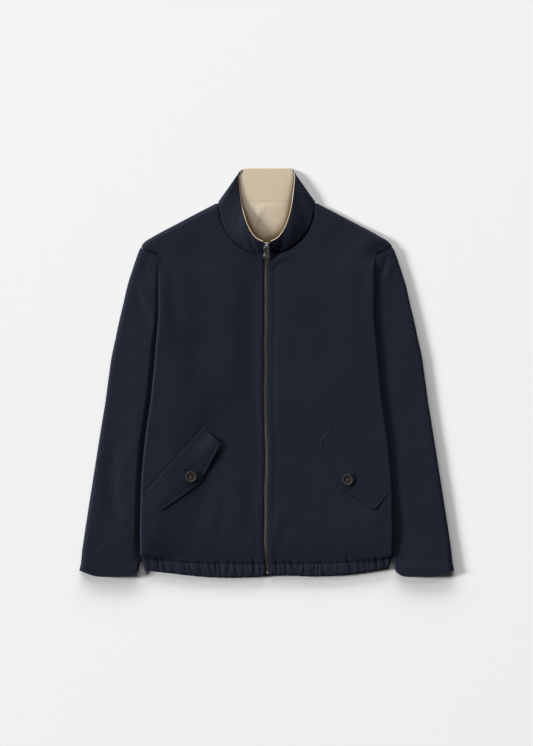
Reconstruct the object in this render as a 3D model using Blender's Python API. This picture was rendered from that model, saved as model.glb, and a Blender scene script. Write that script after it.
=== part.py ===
"""Zip-front bomber jacket laid flat on its back, front up, collar toward +Y.

Sizes are in millimetres and become metres when a mesh is made. Half tables give the side at +X, which is
mirrored for the other side. Every piece of cloth is a closed wall round a grid of points.
"""

import math

import bpy
import numpy as np

MM = 0.001
SEAM = 0.3  # space left between pieces that meet
CLOTH = 1.8  # wall of the body and sleeves: shell and lining together
HEM_CLOTH = 2.0  # wall of the turned and elasticated hem
COLLAR_CLOTH = 1.6
FACING = 1.0  # beige inner cloth of the collar and the back neck
SHIFT_Y = -1.0  # brings the middle of the outline to the origin

# The back lies on the surface and rises over the inner part of the sleeve that is tucked under it.
LIFT = 5.7
LIFT_RUN = 20.0
LIFT_AHEAD = 11.0  # how far before the tucked fold the back has risen clear of it
FRONT_FLAT = 7.5  # height of the fronts' outer side over the plain back
FRONT_RAISED = 13.0  # and over the tucked sleeves
FRONT_RUN = 50.0
FOLD_RUN = 9.0  # how far in from a folded edge the cloth starts to turn down

ZIP_HALF = 4.6  # centre line to the front edge
TAPE_INNER = 3.35
TAPE_OUTER = 15.0
TAPE_THICK = 0.9
CHAIN_HALF = 3.0
CHAIN_THICK = 2.5
CHAIN_SINK = 2.55  # middle of the chain below the fronts' outer side

HEM_MID_Y = -373.5  # stitch line of the hem at the centre
HEM_SEAM_HALF = 245.0  # half the hem's width along that line
HEM_SEAM_RISE = 16.5  # how much higher it lies at the sides
HEM_PULL_Y = -250.0  # the rows of the body below this bend with the hem
HEM_EDGE = [  # x, y of the hem's lower edge
    (-240, -385.0), (-210, -389.5), (-180, -392.7), (-150, -396.4), (-116, -399.4), (-84, -400.6), (-50, -399.8),
    (-20, -399.0), (0, -396.8), (20, -396.4), (45, -396.4), (84, -398.0), (123, -396.9), (162, -394.0),
    (200, -388.2), (240, -382.5),
]
HEM_TOP_END = 244.2  # half widths of the fronts' hem pieces, along the stitching and along the edge
HEM_LOW_END = 237.6
HEM_TOP = 6.75  # height of the hem's outer side along its stitching
HEM_SIDE_END = 5.2  # and where it ends at the side
HEM_SWELL = 0.9
HEM_DIP = 0.9  # how far the fronts go down to their hem
GATHERS = 16  # on each side of the zip
GATHER_HEIGHT = 1.1

# Side fold of the body: y, half width.
SIDE = [
    (-397, 236.0), (-387.5, 237.3), (-381.6, 239.3), (-360, 244.5), (-342, 245.7), (-288, 244.7), (-235, 243.8),
    (-181, 241.0), (-138, 236.3), (-93, 230.1), (-44, 223.3), (14, 217.4), (59, 213.7), (102, 210.2),
    (141, 209.0), (190, 209.4), (219, 210.4), (231, 212.5), (260, 212.5),
]
# Where the tucked sleeve's inner fold lies under the back: y, half width.
TUCK = [
    (-397, 279), (-372, 271), (-366, 261.5), (-358, 249.0), (-346, 241.0), (-317, 230.7), (-268, 216.3),
    (-210, 198.9), (-151, 181.7), (-93, 164.8), (-58, 153.1), (-34, 153.0), (1, 167.0), (28, 188.0),
    (49, 201.0), (59, 204.5), (67, 207.0), (106, 233.0), (150, 290.0), (333, 330.0),
]
# Where the fronts rise toward the side: y, half width.
FRONT_TUCK = [
    (-397, 290), (-372, 275), (-352, 246), (-317, 230.7), (-268, 216.3), (-210, 198.9), (-151, 181.7),
    (-93, 164.8), (-58, 153.1), (-34, 154.0), (1, 169.7), (28, 189.2), (60, 200.0), (100, 195.0), (150, 195.0),
    (200, 200.0), (222, 206.0), (231, 233.0), (245, 275.0), (333, 300.0),
]
# Height of the sleeve's top where the body's edge lies over it: y, height.
SLEEVE_EDGE = [
    (-397, 7.6), (-372, 7.4), (-356, 4.8), (56, 4.8), (76, 6.0), (100, 7.2), (245, 7.2),
]
SLEEVE_UNDER_FRONT = 205.5  # half width outside which the front's side lies on the upper sleeve
UPPER_SLEEVE_FROM = 40.0
UPPER_SLEEVE_TO = 236.0
SLEEVE_HIGH = 7.6
SLEEVE_ROLL = 1.3  # how much fuller the sleeve is beside its outer fold
SLEEVE_ROLL_RUN = 13.0
SLEEVE_RISE = 28.0
SLEEVE_FOLD = 8.0
# Height at which the fronts' folded side edge ends: y, height.
SIDE_END = [(-397, 2.8), (-374, 2.8), (-366, 5.6), (-357, 8.0), (45, 8.0), (100, 8.5), (245, 8.5)]
SHOULDER_END = 2.3

# A front: neck or zip edge x, y, then side or shoulder edge x, y, and the rows made up to the next key row.
FRONT_ROWS = [
    (4.6, -373.5, 244.9, -373.5, 3), (4.6, -330, 245.5, -322, 3), (4.6, -235, 243.8, -235, 3),
    (4.6, -138, 236.3, -138, 3), (4.6, -44, 223.3, -44, 3), (4.6, 40, 215.2, 45, 3), (4.6, 120, 209.4, 125, 2),
    (4.6, 190, 209.6, 188, 2), (4.6, 222, 210.2, 214, 1), (5.3, 230.6, 210.8, 224, 1),
    (19.5, 231.3, 212.5, 230.9, 1),
    (35.1, 235.5, 228.2, 236.9, 1), (58.9, 248.7, 243.6, 243.0, 1), (73.6, 265.6, 238.0, 252.0, 1),
    (83.8, 281.0, 214.5, 266.7, 1), (89.6, 296.0, 176.0, 287.2, 1), (92.6, 308.0, 143.0, 304.6, 1),
    (94.6, 327.8, 98.4, 327.8, 0),
]
SEAM_FIRST_ROW = 10  # key rows between which the outer edge is the visible armhole seam
SEAM_LAST_ROW = 12

# The back: half width at each height, and the rows made up to the next key row.
BACK_ROWS = [
    (-373.5, 244.6, 2), (-342, 245.4, 2), (-288, 244.4, 2), (-235, 243.5, 2), (-181, 240.7, 2), (-138, 236.0, 2),
    (-93, 229.8, 2), (-44, 223.0, 2), (14, 217.1, 1), (35, 215.3, 1), (47, 210.5, 1), (59, 206.7, 2),
    (106, 206.7, 2), (190, 206.7, 1), (219, 207.6, 1), (229.4, 211.0, 1), (236.0, 227.2, 1), (242.6, 243.2, 1),
    (248, 240.4, 1), (257.6, 231.0, 1), (277.5, 194.0, 1), (297, 158.0, 1), (316.5, 121.8, 1), (328, 97.0, 1),
    (332.8, 91.5, 0),
]

# A sleeve: outer edge x, y, inner edge of the top x, y, inner edge of the under side x, y, how far it is closed,
# and the rows made up to the next key row.
SLEEVE_ROWS = [
    (244.7, 242.0, 213.2, 228.8, 213.2, 228.8, 0, 1), (247.7, 235.6, 206.0, 216.0, 208.6, 217.5, 0, 1),
    (252.5, 222.9, 204.4, 197.0, 207.1, 197.0, 0, 1), (260.3, 199.5, 204.4, 172.0, 207.1, 172.0, 0, 1),
    (269.5, 170.2, 204.4, 143.0, 207.1, 143.0, 0, 1), (278.5, 131.2, 204.8, 113.0, 207.1, 113.0, 0, 1),
    (283.7, 109.8, 207.3, 98.0, 207.1, 98.0, 0, 1), (289.0, 86.4, 207.5, 78.0, 207.1, 78.0, 0, 1),
    (292.9, 66.9, 207.4, 62.0, 207.1, 62.0, 0.4, 1), (296.8, 49.3, 202.5, 49.3, 202.5, 49.3, 1, 1),
    (301.3, 27.9, 189.2, 27.9, 189.2, 27.9, 1, 1), (305.2, 0.6, 169.7, 0.6, 169.7, 0.6, 1, 1),
    (309.9, -34.5, 154.5, -34.5, 154.5, -34.5, 1, 1), (313.0, -57.9, 153.4, -57.9, 153.4, -57.9, 1, 1),
    (318.8, -93.0, 164.8, -93.0, 164.8, -93.0, 1, 2), (337.3, -210.0, 198.9, -210.0, 198.9, -210.0, 1, 2),
    (353.9, -317.3, 230.7, -317.3, 230.7, -317.3, 1, 1), (358.6, -350.4, 242.6, -350.4, 242.6, -350.4, 1, 1),
    (360.4, -369.9, 248.4, -369.9, 248.4, -369.9, 1, 1), (363.9, -386.5, 251.5, -386.5, 251.5, -386.5, 1, 0),
]
SLEEVE_SIDE = [(row[1], row[0]) for row in reversed(SLEEVE_ROWS)]
CUFF_SAG = 12.0
CUFF_POWER = 6  # how close to the cuff its sag begins
CUFF_LEAN = 1.4  # above 1 its lowest place moves toward the body
CUFF_FULL = 5  # how square the sag is

# The collar from the zip round to the middle of the back: seam x, y, z, top edge x, y, its height on the left
# and on the right, and how far the cloth bulges between them.
COLLAR_ROWS = [
    (5.3, 231.3, 8.4, 7.4, 251.5, 19.0, 19.0, 2.5), (15.6, 232.0, 8.6, 19.1, 257.6, 19.5, 20.0, 2.5),
    (33.0, 236.6, 8.8, 30.8, 270.5, 18.5, 20.5, 2.5), (54.2, 247.8, 9.0, 41.9, 294.1, 15.5, 20.0, 2.0),
    (70.6, 264.0, 9.0, 49.3, 322.3, 9.5, 16.5, 1.8), (82.2, 282.0, 8.8, 53.4, 351.6, 6.5, 12.0, 1.4),
    (89.0, 303.0, 8.4, 55.2, 373.0, 5.6, 9.0, 1.4), (92.2, 318.0, 7.8, 55.6, 382.4, 5.2, 7.5, 1.6),
    (93.2, 326.0, 6.8, 54.8, 387.6, 4.8, 6.2, 2.0), (94.0, 331.4, 4.4, 53.0, 391.0, 3.8, 4.4, 2.5),
    (93.6, 333.5, 1.9, 50.0, 394.0, 2.0, 2.4, 1.5), (90.5, 334.0, 0.3, 45.5, 396.2, 0.2, 0.3, 0.2),
    (84.0, 334.0, 0.0, 40.0, 396.7, 0.0, 0.0, 0.0), (58.5, 334.0, 0.0, 28.0, 396.8, 0.0, 0.0, 0.0),
    (29.2, 334.0, 0.0, 14.6, 396.8, 0.0, 0.0, 0.0), (0.0, 334.0, 0.0, 0.0, 396.8, 0.0, 0.0, 0.0),
]
BULGE_FROM = 5.0  # seam height at which the collar begins to stand and bulge
BULGE_RUN = 3.5
FACING_SHOWS = 1.2  # how far the facing stands above the collar's top edge
NECK_LINING = [(150, 118.0), (232, 118.0), (275, 84.0), (304, 86.0), (331.5, 89.0)]  # y, half width

# Large folds of the fronts: side, x, y, x, y, half width, height.
FOLDS = [
    (-1, 178, 150, 172, -20, 16, 1.0), (-1, 62, 150, 26, -70, 24, -1.2), (-1, 108, 190, 84, -60, 26, 1.1),
    (-1, 150, -290, 60, -330, 16, 1.0), (-1, 205, -250, 214, -340, 14, -0.9), (1, 40, 228, 20, 200, 8, 1.2),
    (1, 90, 160, 76, -20, 26, -1.1), (1, 132, 200, 126, -60, 24, 1.0), (1, 60, -300, 150, -335, 16, 1.0),
    (1, 26, 120, 34, -160, 18, 0.9), (1, 214, -240, 208, -340, 14, -0.9),
]

# A pocket flap: side, upper corner x, y, lower corner x, y, place of its point along it, how much its ends lean,
# then its depth at the ends, at the point and to the button.
FLAPS = [
    (-1, 122.5, -106.5, 236.5, -233.5, 0.495, 0.08, 47.5, 68.5, 47.0),
    (1, 126.9, -104.7, 238.0, -234.0, 0.530, 0.20, 42.5, 64.5, 44.5),
]
FLAP_CLOTH = 1.8
FLAP_CLEAR = 1.0
FLAP_CURL = 3.2  # how far the flap's upper end lifts off the front
FLAP_CURL_RUN = 0.22
BUTTON_R = 11.0
BUTTON_THICK = 3.0
BUTTON_HOLE_R = 1.1
BUTTON_HOLE_AT = 2.3

COLLAR_SLOPE = math.radians(27.0)
SLIDER_Y = 244.3
SLIDER_HALF_LONG = 6.2
SLIDER_HALF_WIDE = 5.4
PLATE = 1.3
BRIDGE_HALF_WIDE = 1.4
BRIDGE_INSIDE = 2.7
BRIDGE_HALF_LONG = 3.2
BRIDGE_THICK = 1.1
PULL_BACK = 1.5  # hinge line below the middle of the slider, along the slope
PULL_TILT = math.radians(16.0)
PULL_THICK = 1.2
PULL_HALF = [  # along the pull, half width
    (0.9, 5.6), (-3.0, 5.5), (-9.8, 5.15), (-17.2, 7.0), (-20.4, 6.2), (-22.8, 4.4), (-24.4, 1.7),
]
PULL_HOLE_AT = -17.9
PULL_HOLE_R = 3.3
PULL_SLOT = (0.8, 11.6, 2.3)  # start, end and half width

MATERIALS = {
    "navy_cloth": (0.017, 0.021, 0.033, 0.62, 0.0),
    "beige_cloth": (0.50, 0.43, 0.32, 0.7, 0.0),
    "zip_tape": (0.012, 0.014, 0.020, 0.8, 0.0),
    "zip_brass": (0.20, 0.17, 0.12, 0.38, 1.0),
    "zip_nickel": (0.22, 0.21, 0.19, 0.3, 1.0),
    "button_horn": (0.07, 0.055, 0.045, 0.4, 0.0),
}


def clear_scene():
    for obj in list(bpy.data.objects):
        bpy.data.objects.remove(obj)


def material(name):
    mat = bpy.data.materials.get(name)
    if mat is None:
        r, g, b, rough, metal = MATERIALS[name]
        mat = bpy.data.materials.new(name)
        mat.use_nodes = True
        shader = mat.node_tree.nodes["Principled BSDF"]
        shader.inputs["Base Color"].default_value = (r, g, b, 1.0)
        shader.inputs["Roughness"].default_value = rough
        shader.inputs["Metallic"].default_value = metal
    return mat


def add_mesh(name, points, faces, mat, angle=50.0):
    mesh = bpy.data.meshes.new(name)
    placed = (np.asarray(points, float) + (0.0, SHIFT_Y, 0.0)) * MM
    mesh.from_pydata(placed.tolist(), [], faces)
    mesh.materials.append(material(mat))
    mesh.shade_smooth()
    mesh.set_sharp_from_angle(angle=math.radians(angle))
    obj = bpy.data.objects.new(name, mesh)
    bpy.context.collection.objects.link(obj)
    return obj


def curve(table, x):
    """A smooth line through the rows of a two-column table, with no overshoot between them."""
    xk, yk = np.array(table, float).T
    x = np.clip(np.asarray(x, float), xk[0], xk[-1])
    step = np.diff(xk)
    slope = np.diff(yk) / step
    lean = np.zeros(len(xk))
    same = slope[:-1] * slope[1:] > 0
    both = 2 * slope[:-1] * slope[1:] / np.where(same, slope[:-1] + slope[1:], 1.0)
    lean[1:-1] = np.where(same, both, 0.0)
    lean[0] = slope[0]
    lean[-1] = slope[-1]
    i = np.clip(np.searchsorted(xk, x, side="right") - 1, 0, len(step) - 1)
    t = (x - xk[i]) / step[i]
    h = step[i]
    a = (1 + 2 * t) * (1 - t) ** 2 * yk[i] + t * (1 - t) ** 2 * h * lean[i]
    return a + t * t * (3 - 2 * t) * yk[i + 1] + t * t * (t - 1) * h * lean[i + 1]


def ease(t):
    t = np.clip(t, 0.0, 1.0)
    return t * t * (3 - 2 * t)


def spread_rows(table):
    """Key rows and the rows between them; the last column says how many steps lead to the next key row."""
    table = np.array(table, float)
    keys = np.concatenate([[0.0], np.cumsum(table[:-1, -1])])
    at = np.arange(int(keys[-1]) + 1)
    columns = [curve(np.stack([keys, table[:, k]], axis=1), at) for k in range(table.shape[1] - 1)]
    return np.stack(columns, axis=1), keys.astype(int)


def distance(x, y, line):
    """Plan distance from each point to a line of points."""
    p = np.stack(np.broadcast_arrays(x, y), axis=-1)[..., None, :].astype(float)
    a = line[:-1]
    run = line[1:] - a
    t = np.clip(((p - a) * run).sum(-1) / np.maximum((run * run).sum(-1), 1e-9), 0.0, 1.0)
    return np.linalg.norm(p - a - t[..., None] * run, axis=-1).min(-1)


def stitch_rise(x):
    return HEM_SEAM_RISE * (np.abs(x) / HEM_SEAM_HALF) ** 4


def stitch_y(x):
    return HEM_MID_Y + stitch_rise(x)


def pulled_by_hem(x, y):
    """How far a point of the body's plain rows is raised to meet the hem's curved seam."""
    return stitch_rise(x) * ease((HEM_PULL_Y - y) / (HEM_PULL_Y - HEM_MID_Y))


def hem_edge_y(x):
    return curve(HEM_EDGE, x)


def back_under(x, y):
    return LIFT * ease((np.abs(x) - curve(TUCK, y) + LIFT_RUN + LIFT_AHEAD) / LIFT_RUN)


def sleeve_top(x, y):
    """Height of the sleeve's outer side above the surface, before its edges turn down."""
    edge = curve(SLEEVE_EDGE, y)
    risen = ease((np.abs(x) - curve(SIDE, y) - 0.5) / SLEEVE_RISE)
    from_fold = curve(SLEEVE_SIDE, y) - np.abs(x) - SLEEVE_FOLD
    roll = SLEEVE_ROLL * np.exp(-((from_fold / SLEEVE_ROLL_RUN) ** 2))
    return edge + (SLEEVE_HIGH - edge) * risen + roll * risen


def folds(x, y):
    total = np.zeros(np.broadcast(x, y).shape)
    for side, x0, y0, x1, y1, half, height in FOLDS:
        line = np.array([(side * x0, y0), (side * x1, y1)], float)
        total += height * np.exp(-((distance(x, y, line) / half) ** 2))
    return total


def front_edges(side):
    """The lines along which a front turns down: its side fold, and its shoulder fold."""
    rows, keys = spread_rows(FRONT_ROWS)
    outer = rows[:, 2:4].copy()
    outer[:, 1] += pulled_by_hem(outer[:, 0], outer[:, 1])
    outer[:, 0] *= side
    return outer[: keys[SEAM_FIRST_ROW] + 1], outer[keys[SEAM_LAST_ROW] :]


def front_top(x, y, side):
    """Height of a front's outer side."""
    raised = ease((np.abs(x) - curve(FRONT_TUCK, y) + FRONT_RUN - 5.0) / FRONT_RUN)
    z = FRONT_FLAT + (FRONT_RAISED - FRONT_FLAT) * raised
    near_zip = ease((np.abs(x) - ZIP_HALF) / 25.0)
    near_hem = 1.0 - ease((y - stitch_y(x)) / 30.0)
    z = z + folds(x, y) * near_zip * (1.0 - near_hem) - HEM_DIP * near_hem
    z = np.maximum(z, back_under(x, y) + 2 * CLOTH + 0.5)
    side_line, shoulder_line = front_edges(side)
    for line, end in ((side_line, curve(SIDE_END, y)), (shoulder_line, SHOULDER_END)):
        inward = np.clip(distance(x, y, line) / FOLD_RUN, 0.0, 1.0)
        z = np.minimum(z, end + (z - end) * np.sqrt(1.0 - (1.0 - inward) ** 2))
    return z


def normals(grid):
    """Unit normals of a grid of points, on the side where rows and columns turn anticlockwise."""
    du = np.gradient(grid, axis=0)
    dv = np.gradient(grid, axis=1)
    n = np.cross(dv, du)
    return n / np.maximum(np.linalg.norm(n, axis=-1, keepdims=True), 1e-9)


def wall(name, outer, inner, mat):
    """A closed wall between two grids of points of the same shape."""
    rows, cols = outer.shape[:2]
    points = np.concatenate([outer.reshape(-1, 3), inner.reshape(-1, 3)])
    index = np.arange(rows * cols).reshape(rows, cols)
    a, b, c, d = index[:-1, :-1], index[:-1, 1:], index[1:, 1:], index[1:, :-1]
    faces = np.stack([a, b, c, d], axis=-1).reshape(-1, 4).tolist()
    back = rows * cols
    faces += (np.stack([a, d, c, b], axis=-1).reshape(-1, 4) + back).tolist()
    rim = np.concatenate([index[0, :], index[1:, -1], index[-1, -2::-1], index[-2:0:-1, 0]])
    after = np.roll(rim, -1)
    faces += np.stack([after, rim, rim + back, after + back], axis=-1).tolist()
    if signed_volume(points, faces) < 0:
        faces = [[face[0], *face[:0:-1]] for face in faces]
    return add_mesh(name, points, faces, mat)


def signed_volume(points, faces):
    quads = points[np.array(faces)]
    one = np.einsum("ij,ij->i", quads[:, 0], np.cross(quads[:, 1], quads[:, 2]))
    two = np.einsum("ij,ij->i", quads[:, 0], np.cross(quads[:, 2], quads[:, 3]))
    return float((one + two).sum())


def across(start, end, near_edge, plain, lean):
    """Places from start to end along a row: even at first, then the given distances from the end."""
    length = np.linalg.norm(end - start)
    steps = np.array(near_edge, float) * min(lean, 2.6)
    steps *= min(1.0, 0.7 * length / steps[0])
    inner = np.linspace(0.0, 1.0 - steps[0] / length, plain)
    return np.concatenate([inner[:-1], 1.0 - steps / length])


def make_front(name, side):
    rows, keys = spread_rows(FRONT_ROWS)
    grid = np.zeros((len(rows), 16, 2))
    edge = np.gradient(rows[:, 2:4], axis=0)
    for i, (x0, y0, x1, y1) in enumerate(rows):
        start, end = np.array([x0, y0]), np.array([x1, y1])
        run = (end - start) / np.linalg.norm(end - start)
        turn = abs(run[0] * edge[i, 1] - run[1] * edge[i, 0]) / np.linalg.norm(edge[i])
        at = across(start, end, (12, 8.5, 5.2, 2.6, 0.8, 0), 11, 1.0 / max(turn, 0.1))
        grid[i] = start + at[:, None] * (end - start)
    grid[..., 1] += pulled_by_hem(grid[..., 0], grid[..., 1])
    x, y = side * grid[..., 0], grid[..., 1]
    outer = np.stack([x, y, front_top(x, y, side)], axis=-1)
    inner = outer - side * CLOTH * normals(outer)
    under = back_under(inner[..., 0], inner[..., 1]) + CLOTH
    on_sleeve = np.abs(inner[..., 0]) > SLEEVE_UNDER_FRONT
    on_sleeve &= (inner[..., 1] > UPPER_SLEEVE_FROM) & (inner[..., 1] < UPPER_SLEEVE_TO)
    under = np.where(on_sleeve, np.maximum(under, sleeve_top(inner[..., 0], inner[..., 1])), under)
    inner[..., 2] = np.maximum(inner[..., 2], under + SEAM + 0.05)
    return wall(name, outer, inner, "navy_cloth")


def make_back():
    rows, _ = spread_rows(BACK_ROWS)
    share = np.concatenate([np.linspace(0, 0.55, 3)[:-1], np.linspace(0.55, 1.0, 8)])
    share = np.concatenate([-share[:0:-1], share])
    x = rows[:, 1:2] * share
    y = np.repeat(rows[:, :1], len(share), axis=1)
    y = y + pulled_by_hem(x, y)
    low = np.stack([x, y, back_under(x, y)], axis=-1)
    high = low + (0.0, 0.0, CLOTH)
    return wall("back", low, high, "navy_cloth")


def make_neck_lining():
    y = np.array([row[0] for row in NECK_LINING], float)
    y = np.interp(np.linspace(0, 1, 9), np.linspace(0, 1, len(y)), y)
    x = curve(NECK_LINING, y)[:, None] * np.linspace(-1, 1, 9)
    y = np.repeat(y[:, None], 9, axis=1)
    low = np.stack([x, y, back_under(x, y) + CLOTH + SEAM], axis=-1)
    return wall("neck_lining", low, low + (0.0, 0.0, FACING), "beige_cloth")


def place_y(outer_point, target):
    """Height along the jacket at which a row of the sleeve passes under the body's edge."""
    return target[1] + 0.1 * (outer_point[1] - target[1])


def make_sleeve(name, side):
    rows, _ = spread_rows(SLEEVE_ROWS)
    turn = np.radians([0, 28, 57, 90])
    sections = []
    for x0, y0, xt, yt, xb, yb, closed in rows:
        outer_point, top_point, low_point = np.array([x0, y0]), np.array([xt, yt]), np.array([xb, yb])
        section = []
        for target, up in ((low_point, -1.0), (top_point, 1.0)):
            length = np.linalg.norm(target - outer_point)
            away = (target - outer_point) / length
            fold = min(SLEEVE_FOLD, 0.3 * length)
            height = sleeve_top(*target)
            bend = 0.5 * height
            edge = (outer_point[0] - curve(SIDE, place_y(outer_point, target)) - 0.2) / abs(away[0])
            edge = np.clip((edge - fold) / (length - bend - fold), 0.4, 0.9)
            plain = (0.30, 0.70) if up < 0 else (0.3 * edge, 0.62 * edge, edge, 0.5 + 0.5 * edge)
            gap = math.asin(SEAM / height)
            half = []
            for angle in turn:
                half.append((fold * (1 - math.cos(angle)), math.sin(angle)))
            for share in plain:
                half.append((fold + (length - bend - fold) * share, 1.0))
            for k, angle in enumerate(np.linspace(0, math.pi / 2 - gap, 4)):
                ends_at = (1 - closed) * k / 3 + closed * math.sin(angle)
                half.append((length - bend + bend * ends_at, 1 - closed * (1 - math.cos(angle))))
            points = []
            for d, rise in half:
                place = outer_point + away * d
                level = 0.5 * sleeve_top(*place)
                points.append((place[0], place[1], level * (1 + up * rise), min(d / length, 1.0)))
            section += points[:0:-1] if up < 0 else points
        sections.append(section)
    grid = np.array(sections)
    last = np.linspace(0, 1, len(rows)) ** CUFF_POWER
    bow = 1 - np.abs(2 * grid[..., 3] ** CUFF_LEAN - 1) ** CUFF_FULL
    grid[..., 1] -= CUFF_SAG * last[:, None] * bow
    outer = grid[..., :3].copy()
    outer[..., 2] = np.maximum(outer[..., 2], 0.0)
    inner = outer - CLOTH * normals(outer)
    inner[..., 2] = np.maximum(inner[..., 2], CLOTH - 0.1)
    outer[..., 0] *= side
    inner[..., 0] *= side
    return wall(name, outer, inner, "navy_cloth")


def make_hem_front(name, side):
    columns = GATHERS * 5
    u = np.linspace(0, 1, columns + 1)
    q = np.array([0.0, 0.3, 0.72, 1.0])[:, None]
    x_top = ZIP_HALF + (HEM_TOP_END - ZIP_HALF) * u
    x_low = ZIP_HALF + (HEM_LOW_END - ZIP_HALF) * u
    x = x_top + (x_low - x_top) * q
    y_top = stitch_y(x_top) - SEAM - 0.1
    y_low = hem_edge_y(side * x_low)
    y = y_top + (y_low - y_top) * q
    phase = 2 * math.pi * GATHERS * (u + 0.012 * np.sin(9 * u + side) + 0.006 * np.sin(23 * u))
    fade = ease((x - 14.0) / 20.0) * ease((HEM_LOW_END - x) / 14.0)
    size = 0.75 + 0.35 * np.sin(5.3 * u + 2.0 * side) + 0.2 * np.sin(17 * u)
    wave = GATHER_HEIGHT * size * np.sin(phase) * fade * np.sin(math.pi * (0.12 + 0.80 * q))
    z = HEM_TOP + HEM_SWELL * np.sin(math.pi * q) + wave
    inward = np.clip((x[:, -1:] - x) / FOLD_RUN, 0.0, 1.0)
    z = HEM_SIDE_END + (z - HEM_SIDE_END) * np.sqrt(1.0 - (1.0 - inward) ** 2)
    y = y + 0.5 * np.sin(phase) * fade * q
    outer = np.stack([side * x, y, z], axis=-1)
    inner = outer - (0.0, 0.0, HEM_CLOTH)
    return wall(name, outer, inner, "navy_cloth")


def make_hem_back():
    u = np.linspace(-1, 1, 25)
    x_top, x_low = (HEM_TOP_END - 0.4) * u, (HEM_LOW_END - 0.4) * u
    q = np.linspace(0, 1, 3)[:, None]
    x = x_top + (x_low - x_top) * q
    y_top = stitch_y(x_top) - SEAM - 0.1
    y = y_top + (hem_edge_y(x_low) + 0.3 - y_top) * q
    low = np.stack([x, y, np.zeros_like(x)], axis=-1)
    return wall("hem_back", low, low + (0.0, 0.0, HEM_CLOTH), "navy_cloth")


def collar_grid(v):
    """The collar's outer side from its seam, v 0, to its top edge, v 1, all the way round."""
    half = np.array(COLLAR_ROWS, float)
    left, right = half[:-1, [0, 1, 2, 3, 4, 5, 7]], half[::-1, [0, 1, 2, 3, 4, 6, 7]]
    rows = np.concatenate([left * (-1, 1, 1, -1, 1, 1, 1), right])
    seam, top, bulge = rows[:, None, :3], rows[:, None, 3:6], rows[:, 6:]
    v = np.asarray(v, float)[None, :, None]
    grid = seam + (top - seam) * v
    stands = ease((seam[..., 2] - BULGE_FROM) / BULGE_RUN)
    grid[..., 2] += bulge * stands * np.sin(math.pi * np.clip(v[..., 0], 0, 1))
    return grid


def make_collar():
    outer = collar_grid(np.linspace(0, 1, 7))
    inner = outer - COLLAR_CLOTH * normals(outer)
    wall("collar", outer, inner, "navy_cloth")
    v = np.linspace(0, 1, 7)
    v[-1] += FACING_SHOWS / 65.0
    shown = collar_grid(v)
    inward = -normals(shown)
    start = COLLAR_CLOTH + SEAM + 0.1
    return wall("collar_facing", shown + start * inward, shown + (start + FACING) * inward, "beige_cloth")


def front_height_at(y, side):
    """Lowest outer side of the front or the hem over the zip tape, for cloth as thick as the front."""
    x = side * np.linspace(ZIP_HALF, TAPE_OUTER, 4)[:, None]
    y = np.asarray(y, float)[None, :]
    on_front = front_top(x, np.maximum(y, HEM_MID_Y), side).min(0)
    on_hem = HEM_TOP - HEM_CLOTH + CLOTH
    return np.minimum(on_front, np.where(y[0] < HEM_MID_Y + 8.0, on_hem, on_front))


def make_zip_tape(name, side):
    y = np.concatenate([[-394.4, -384.0, -373.5, -366.0, -352.0], np.linspace(-330.0, 228.5, 14)])
    top = front_height_at(y, side) - CLOTH - SEAM - 0.1
    x = side * np.array([TAPE_INNER, TAPE_OUTER])
    outer = np.stack(np.broadcast_arrays(x, y[:, None], top[:, None]), axis=-1)
    return wall(name, outer, outer - (0.0, 0.0, TAPE_THICK), "zip_tape")


def slope_height(y):
    """Height of the collar's front ends beside the zip."""
    return 8.4 + math.tan(COLLAR_SLOPE) * (y - 231.3)


def make_zip_chain():
    y = np.concatenate([[-389.5, -384.0, -373.5, -366.0, -352.0], np.linspace(-330.0, 222.0, 14), [229.0]])
    tape = front_height_at(y, 1) - CLOTH - SEAM - 0.1 - 0.5 * TAPE_THICK
    end_y = SLIDER_Y + 4.2 * math.cos(COLLAR_SLOPE)
    y = np.concatenate([y, [234.0, end_y]])
    sunk = CHAIN_SINK / math.cos(COLLAR_SLOPE)
    middle = np.concatenate([tape, slope_height(y[-2:]) - sunk])
    x = np.array([-CHAIN_HALF, CHAIN_HALF])
    high = np.stack(np.broadcast_arrays(x, y[:, None], middle[:, None]), axis=-1)
    half = (0.0, 0.0, 0.5 * CHAIN_THICK)
    return wall("zip_chain", high + half, high - half, "zip_brass")


def box_points(x, a, n):
    """Corners of a box given by its spans across, along and off the slope."""
    return [(px, pa, pn) for pn in n for pa in a for px in x]


BOX_FACES = [(0, 2, 3, 1), (4, 5, 7, 6), (0, 1, 5, 4), (2, 6, 7, 3), (0, 4, 6, 2), (1, 3, 7, 5)]


def slope_place(points):
    """Points across, along and off the slope, set at the slider's middle."""
    p = np.asarray(points, float)
    cos, sin = math.cos(COLLAR_SLOPE), math.sin(COLLAR_SLOPE)
    y = SLIDER_Y + p[:, 1] * cos - (p[:, 2] - 1.0) * sin
    z = slope_height(SLIDER_Y) + p[:, 1] * sin + (p[:, 2] - 1.0) * cos
    return np.stack([p[:, 0], y, z], axis=1)


def extrude_profile(name, profile, half_wide, mat):
    """A closed outline in the along and off directions, as wide as given across."""
    count = len(profile)
    points = [(-half_wide, a, n) for a, n in profile] + [(half_wide, a, n) for a, n in profile]
    faces = [tuple(range(count)), tuple(range(2 * count - 1, count - 1, -1))]
    faces += [(i, count + i, count + (i + 1) % count, (i + 1) % count) for i in range(count)]
    return add_mesh(name, slope_place(points), faces, mat, 30.0)


def union(target, tool):
    join = target.modifiers.new("join", "BOOLEAN")
    join.operation = "UNION"
    join.object = tool
    tool.hide_render = True
    tool.display_type = "WIRE"


def cut(target, tool):
    union(target, tool)
    target.modifiers[-1].operation = "DIFFERENCE"


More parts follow.
